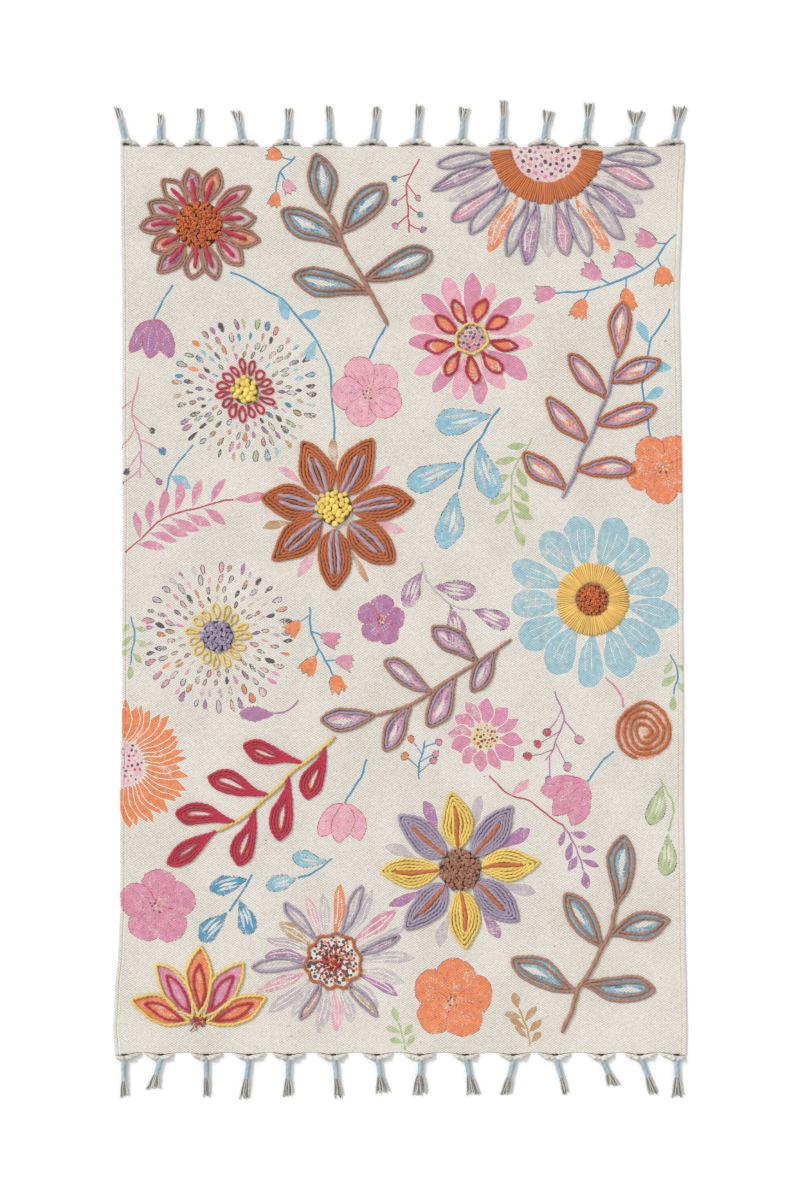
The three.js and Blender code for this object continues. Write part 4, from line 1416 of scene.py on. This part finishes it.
def tassel(name, row, rows, end):
    """Two arms, a dark cord of painted shadow in the gap between them, the wound neck and the fan of loose
    strands.
    """
    start = CLOTH_LENGTH / 2 + SCALLOP + ARM_RIM
    whole = row["reach"] - SCALLOP - ARM_RIM
    slope = row["lean"] / whole
    root = np.array([row["root"], end * (start + 1.5)])
    neck_end = np.array([row["root"] + slope * row["neck"], end * (start + row["neck"])])
    parts = [tassel_arm(row, rows, end, side) for side in (-1, 1)]
    parts.append(root_shadow_cord(row, end))
    parts.append(tassel_neck(root, neck_end, NECK_HIGH, chance.uniform(-1.4, 1.4)))
    count = WIDE_STRANDS if row["fan"] > WIDE_FAN else STRANDS
    free = whole - row["neck"]
    for k in range(count):
        across = (k / (count - 1)) * 2 - 1 + chance.uniform(-0.1, 0.1)
        upper = k % 2
        length = free * (1 - 0.22 * chance.random() * (k > 0))
        share = np.linspace(0, 1, 12)
        ahead = row["neck"] - 3 + (length + 3) * share
        fan = (row["fan"] / 2 - 1.3) * across * share ** 0.75
        sway = 0.9 * np.sin(share * 5 + chance.uniform(0, 6)) * share
        x = row["root"] + slope * ahead + fan + sway + 1.8 * across * (1 - share)
        height = 1.6 + (NECK_HIGH - 1.8) * (1 - share) ** 2 + upper * 2.2 * (0.35 + 0.65 * (1 - share))
        line = np.column_stack([x, end * (start + ahead), height])
        radii = STRAND * (1 - 0.1 * share)
        part = sweep(line, radii, 2, 9, points=6, waist=0.3, start_turn=chance.uniform(0, 3))
        mix = chance.uniform(0.3, 1.0)
        part["dye"] = dye_light["cream"] * mix + dye_light["grey"] * (1 - mix)
        # Painted shade: three strands are dyed darker, for loose ends in the shadow of others.
        if k in (1, 4, count - 3):
            part["dye"] = dye_light["grey"] * 0.6
        parts.append(part)
    return add_piece(name, yarn_mesh(name, parts))


tassels = {}
for end_name, (end, rows) in ENDS.items():
    for i, row in enumerate(rows):
        label = f"{end_name}_{i + 1:02d}"
        tassels["tassel_" + label] = tassel("wound_tassel_" + label, row, rows, end)
print("faces in a tassel:", len(tassels["tassel_top_01"].data.polygons))

# %% [markdown]
# Shared effects as node groups.
#
# Two effects are used again and again. Spun fibre gives yarn its fine lengthwise streaks, the painted
# shade in its groove and its fuzz. Plain weave gives the cloth its over-and-under threads. The crossings
# where the weft lies on top stand higher, and because they change places from thread to thread, they
# show from far off as a fine slanting grain, in relief and in painted light on the cloth. Each effect is
# built once as a group with named inputs and outputs, and each material sets its own values.

# %% A small helper for wiring nodes


class Wiring:
    """Adds nodes to a tree and joins them: an input may be a socket or a plain value."""

    def __init__(self, tree):
        self.tree = tree

    def node(self, kind, inputs=(), **settings):
        made = self.tree.nodes.new(kind)
        for key, value in settings.items():
            setattr(made, key, value)
        for key, value in dict(inputs).items():
            if isinstance(value, bpy.types.NodeSocket):
                self.tree.links.new(value, made.inputs[key])
            else:
                made.inputs[key].default_value = value
        return made

    def math(self, operation, *values):
        return self.node("ShaderNodeMath", enumerate(values), operation=operation).outputs[0]

    def vector(self, operation, a, b):
        return self.node("ShaderNodeVectorMath", {0: a, 1: b}, operation=operation).outputs[0]

    def swing(self, value, strength):
        """How far a noise value lies from its middle, 0.5, times a strength."""
        return self.math("MULTIPLY", self.math("SUBTRACT", value, 0.5), strength)

    def grey(self, value):
        return self.node("ShaderNodeCombineColor", {0: value, 1: value, 2: value}).outputs[0]

    def mix(self, share, a, b, blend="MIX"):
        made = self.node("ShaderNodeMix", data_type="RGBA", blend_type=blend)
        for key, value in zip((0, 6, 7), (share, a, b)):
            if isinstance(value, bpy.types.NodeSocket):
                self.tree.links.new(value, made.inputs[key])
            else:
                made.inputs[key].default_value = value
        return made.outputs[2]

    def noise(self, vector, scale, detail=2.0, roughness=0.5):
        inputs = {"Vector": vector, "Scale": scale, "Detail": detail, "Roughness": roughness}
        return self.node("ShaderNodeTexNoise", inputs).outputs["Fac"]

    def ramp(self, value, low, high, steep="SMOOTHSTEP"):
        """0 below low, 1 above high, and smooth between."""
        inputs = {"Value": value, "From Min": low, "From Max": high}
        return self.node("ShaderNodeMapRange", inputs, interpolation_type=steep).outputs["Result"]


def new_group(name, inputs, outputs):
    group = bpy.data.node_groups.new(name, "ShaderNodeTree")
    for label, kind, value in inputs:
        socket = group.interface.new_socket(label, in_out="INPUT", socket_type=kind)
        if value is not None:
            socket.default_value = value
    for label, kind in outputs:
        group.interface.new_socket(label, in_out="OUTPUT", socket_type=kind)
    wiring = Wiring(group)
    return group, wiring, wiring.node("NodeGroupInput").outputs, wiring.node("NodeGroupOutput").inputs


print("wiring helper ready")

# %% Group: spun fibre
fibre_group, w, given, result = new_group(
    "spun_fibre",
    [("Dye", "NodeSocketColor", (0.5, 0.5, 0.5, 1)), ("Painted_Light", "NodeSocketFloat", 1.0),
     ("Lie", "NodeSocketVector", None), ("Place", "NodeSocketVector", None),
     ("Painted_Shade_Depth", "NodeSocketFloat", 0.45), ("Streaks", "NodeSocketFloat", 0.25)],
    [("Colour", "NodeSocketColor"), ("Height", "NodeSocketFloat")],
)
streak = w.noise(w.vector("MULTIPLY", given["Lie"], (420, 26, 1)), 1.0, 3.0, 0.6)
fuzz = w.noise(given["Place"], 1500.0, 3.0, 0.7)
patch = w.noise(given["Place"], 60.0, 2.0)
# Painted shade: where the tone is low, in grooves and on downward sides, the dye is darkened.
painted_shade = w.math("MULTIPLY", w.math("SUBTRACT", 1.0, given["Painted_Light"]), given["Painted_Shade_Depth"])
brightness = w.math("SUBTRACT", 1.0, painted_shade)
lively = w.swing(streak, given["Streaks"])
lively = w.math("ADD", lively, w.swing(fuzz, 0.35))
lively = w.math("ADD", lively, w.swing(patch, 0.3))
brightness = w.math("MULTIPLY", brightness, w.math("ADD", 1.0, lively))
w.tree.links.new(w.mix(1.0, given["Dye"], w.grey(brightness), "MULTIPLY"), result["Colour"])
w.tree.links.new(w.math("ADD", streak, w.math("MULTIPLY", fuzz, 0.6)), result["Height"])
print("nodes in spun fibre:", len(fibre_group.nodes))

# %% Group: plain weave
weave_group, w, given, result = new_group(
    "plain_weave",
    [("Place", "NodeSocketVector", None), ("Warp", "NodeSocketFloat", 341.0),
     ("Weft", "NodeSocketFloat", 510.0), ("Wander", "NodeSocketFloat", 0.25)],
    [("Height", "NodeSocketFloat"), ("Shade", "NodeSocketFloat")],
)
split = w.node("ShaderNodeSeparateXYZ", {0: given["Place"]}).outputs
sway_x = w.swing(w.noise(given["Place"], 38.0), given["Wander"])
shifted = w.vector("ADD", given["Place"], (3.1, 1.7, 0.4))
sway_y = w.swing(w.noise(shifted, 38.0), given["Wander"])
u = w.math("ADD", w.math("MULTIPLY", split[0], given["Warp"]), w.math("MULTIPLY", sway_x, 6.0))
v = w.math("ADD", w.math("MULTIPLY", split[1], given["Weft"]), w.math("MULTIPLY", sway_y, 6.0))
half_turn = math.pi


def thread_height(across, lengthways):
    """One set of threads: round across, and rising and falling along, in turn from thread to thread."""
    round_part = w.math("ABSOLUTE", w.math("SINE", w.math("MULTIPLY", across, half_turn)))
    turn = w.math("MULTIPLY", w.math("ADD", lengthways, w.math("FLOOR", across)), half_turn)
    over = w.math("MULTIPLY_ADD", w.math("SINE", turn), 0.5, 0.5)
    return w.math("MULTIPLY", w.math("POWER", round_part, 0.7), over)


warp = thread_height(u, v)
weft = thread_height(v, w.math("ADD", u, 1.0))
height = w.math("MAXIMUM", w.math("MULTIPLY", warp, 0.55), weft)
slubs = []
for stretch in ((420, 90, 1), (90, 420, 1)):
    slubs.append(w.noise(w.vector("MULTIPLY", given["Place"], stretch), 1.0, 3.0, 0.6))
across_u, across_v = (w.math("SINE", w.math("MULTIPLY", way, half_turn)) for way in (u, v))
crossing = w.math("MULTIPLY", across_u, across_v)
height = w.math("ADD", w.math("MULTIPLY", height, 0.8), w.math("MULTIPLY_ADD", crossing, -0.35, 0.1))
w.tree.links.new(height, result["Height"])
w.tree.links.new(w.math("MULTIPLY", w.math("ADD", *slubs), 0.5), result["Shade"])
print("nodes in plain weave:", len(weave_group.nodes))

# %% [markdown]
# The cloth's finish.
#
# Raw cotton is cream, with lighter and darker threads and a few dark specks of husk. The cream and the
# ink are painted darker where the weave lies low between threads and lighter on its crossings, as
# painted shade and light. The ink sits on the high threads and has worn off in freckles, so it is let
# through by noise: where the noise is above the stamp's cover, the cream shows. Nothing here is shiny.

# %% Material: printed cloth
CREAM_LIGHT = (*light_values("f8f4ec"), 1)
CREAM_DARK = (*light_values("bcb3a3"), 1)
HUSK = (*light_values("6b6156"), 1)


def new_material(name, roughness, sheen):
    material = bpy.data.materials.new(name)
    material.use_nodes = True
    wiring = Wiring(material.node_tree)
    shader = material.node_tree.nodes["Principled BSDF"]
    shader.inputs["Roughness"].default_value = roughness
    shader.inputs["Sheen Weight"].default_value = sheen
    shader.inputs["Specular IOR Level"].default_value = 0.2
    return material, wiring, shader


def bump(w, height, strength, distance, under=None):
    inputs = {"Height": height, "Strength": strength, "Distance": distance}
    if under is not None:
        inputs["Normal"] = under
    return w.node("ShaderNodeBump", inputs).outputs["Normal"]


def cloth_material():
    material, w, shader = new_material("printed_cotton", 0.94, 0.12)
    place = w.node("ShaderNodeTexCoord").outputs["Object"]
    weave = w.node("ShaderNodeGroup", node_tree=weave_group)
    w.tree.links.new(place, weave.inputs["Place"])
    relief, shade = weave.outputs["Height"], weave.outputs["Shade"]
    broad = w.noise(place, 9.0, 3.0)
    fine = w.noise(place, 300.0, 3.0, 0.75)
    # Painted shade and light: the cream is darker where the weave lies low and lighter on the crossings; the
    # other terms are the threads' own tone.
    light = w.math("MULTIPLY_ADD", w.math("SUBTRACT", relief, 0.45), 1.5, 0.67)
    for value, strength in ((shade, 0.9), (broad, 0.6), (fine, 1.3)):
        light = w.math("ADD", light, w.swing(value, strength))
    cotton = w.mix(w.ramp(light, 0.0, 1.0, "LINEAR"), CREAM_DARK, CREAM_LIGHT)
    specks = w.ramp(w.noise(place, 210.0, 1.0), 0.79, 0.83)
    cotton = w.mix(specks, cotton, HUSK)
    ink = w.node("ShaderNodeAttribute", attribute_name="ink")
    freckles = w.math("SUBTRACT", w.noise(place, 360.0, 3.0, 0.7), 0.5)
    patches = w.math("SUBTRACT", w.noise(place, 60.0, 4.0), 0.5)
    grain = w.math("ADD", w.math("MULTIPLY_ADD", freckles, 1.3, 0.74), w.math("MULTIPLY", patches, 0.8))
    grain = w.math("SUBTRACT", grain, w.math("MULTIPLY", relief, 0.4))
    reach = w.math("SUBTRACT", ink.outputs["Alpha"], grain)
    inked = w.math("MULTIPLY", w.ramp(reach, -0.02, 0.12), w.ramp(ink.outputs["Alpha"], 0.02, 0.1))
    tone = w.math("MULTIPLY_ADD", w.noise(place, 130.0, 4.0, 0.6), 0.9, 0.62)
    # Painted shade: the ink is darker where the weave lies low.
    tone = w.math("MULTIPLY", tone, w.math("MULTIPLY_ADD", relief, 0.5, 0.74))
    colour = w.mix(1.0, ink.outputs["Color"], w.grey(tone), "MULTIPLY")
    finished = w.mix(w.math("MULTIPLY", inked, 0.94), cotton, colour)
    w.tree.links.new(finished, shader.inputs["Base Color"])
    ripple = bump(w, w.noise(place, 30.0, 2.0), 0.35, 0.0022)
    surface = w.math("ADD", relief, w.math("MULTIPLY", fine, 0.5))
    w.tree.links.new(bump(w, surface, 0.8, 0.0006, ripple), shader.inputs["Normal"])
    return material


cloth_mesh.materials.append(cloth_material())
print("cloth finished")

# %% [markdown]
# The yarns' finishes.
#
# All yarns share the spun fibre group, and each sets how dark the painted shade in its grooves is. Sewn
# cord is dull and woolly with deep grooves. The nubs of the knots are fuzzier. Satin thread is smoother
# and shows long streaks. The tassels are plain cotton.

# %% Materials: yarns


def yarn_material(name, roughness, sheen, painted_shade_depth, streaks, relief):
    material, w, shader = new_material(name, roughness, sheen)
    fibre = w.node("ShaderNodeGroup", node_tree=fibre_group)
    sources = {
        "Dye": w.node("ShaderNodeAttribute", attribute_name="dye").outputs["Color"],
        "Painted_Light": w.node("ShaderNodeAttribute", attribute_name="tone").outputs["Fac"],
        "Lie": w.node("ShaderNodeAttribute", attribute_name="lie").outputs["Vector"],
        "Place": w.node("ShaderNodeTexCoord").outputs["Object"],
    }
    for label, socket in sources.items():
        w.tree.links.new(socket, fibre.inputs[label])
    fibre.inputs["Painted_Shade_Depth"].default_value = painted_shade_depth
    fibre.inputs["Streaks"].default_value = streaks
    w.tree.links.new(fibre.outputs["Colour"], shader.inputs["Base Color"])
    w.tree.links.new(bump(w, fibre.outputs["Height"], 0.7, relief), shader.inputs["Normal"])
    return material


sewn_wool = yarn_material("sewn_wool", 0.92, 0.25, 0.5, 0.5, 0.0004)
curled_wool = yarn_material("curled_wool", 0.95, 0.3, 0.6, 0.4, 0.0005)
satin_thread = yarn_material("satin_thread", 0.8, 0.2, 0.5, 0.6, 0.0002)
tassel_cotton = yarn_material("tassel_cotton", 0.93, 0.2, 0.5, 0.55, 0.0004)
satin_pieces = [satin_whole, satin_half, stitched_centres]
FINISHES = [
    (sewn_wool, yarn_pieces.values()), (curled_wool, heaps.values()),
    (satin_thread, satin_pieces), (tassel_cotton, tassels.values()),
]
for material, pieces in FINISHES:
    for piece in pieces:
        piece.data.materials.append(material)
print({material.name: len(pieces) for material, pieces in FINISHES})

# %% Material: floor


def floor_material():
    material, w, shader = new_material("white_floor", 0.9, 0.0)
    place = w.node("ShaderNodeTexCoord").outputs["Object"]
    tone = w.math("MULTIPLY_ADD", w.noise(place, 0.6), 0.01, 0.99)
    w.tree.links.new(w.grey(tone), shader.inputs["Base Color"])
    return material


floor.data.materials.append(floor_material())
print("floor finished")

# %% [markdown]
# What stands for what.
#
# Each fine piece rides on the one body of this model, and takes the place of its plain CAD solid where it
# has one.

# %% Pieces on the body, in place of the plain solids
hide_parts("rug_cloth")
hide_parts("petals_rust_cone")
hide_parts("petals_gold_cone")
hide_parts("satin_blue_daisy")
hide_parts("satin_half_daisy")
for node, piece in heaps.items():
    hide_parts(node)
for node, piece in tassels.items():
    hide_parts(node)

dressing = [*yarn_pieces.values(), *heaps.values(), *satin_pieces, *tassels.values()]
for piece in [cloth, *dressing]:
    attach(piece, "root")
faces_in_all = sum(len(piece.data.polygons) for piece in [cloth, *dressing])
print("pieces:", len(dressing) + 1, "faces in all:", faces_in_all)
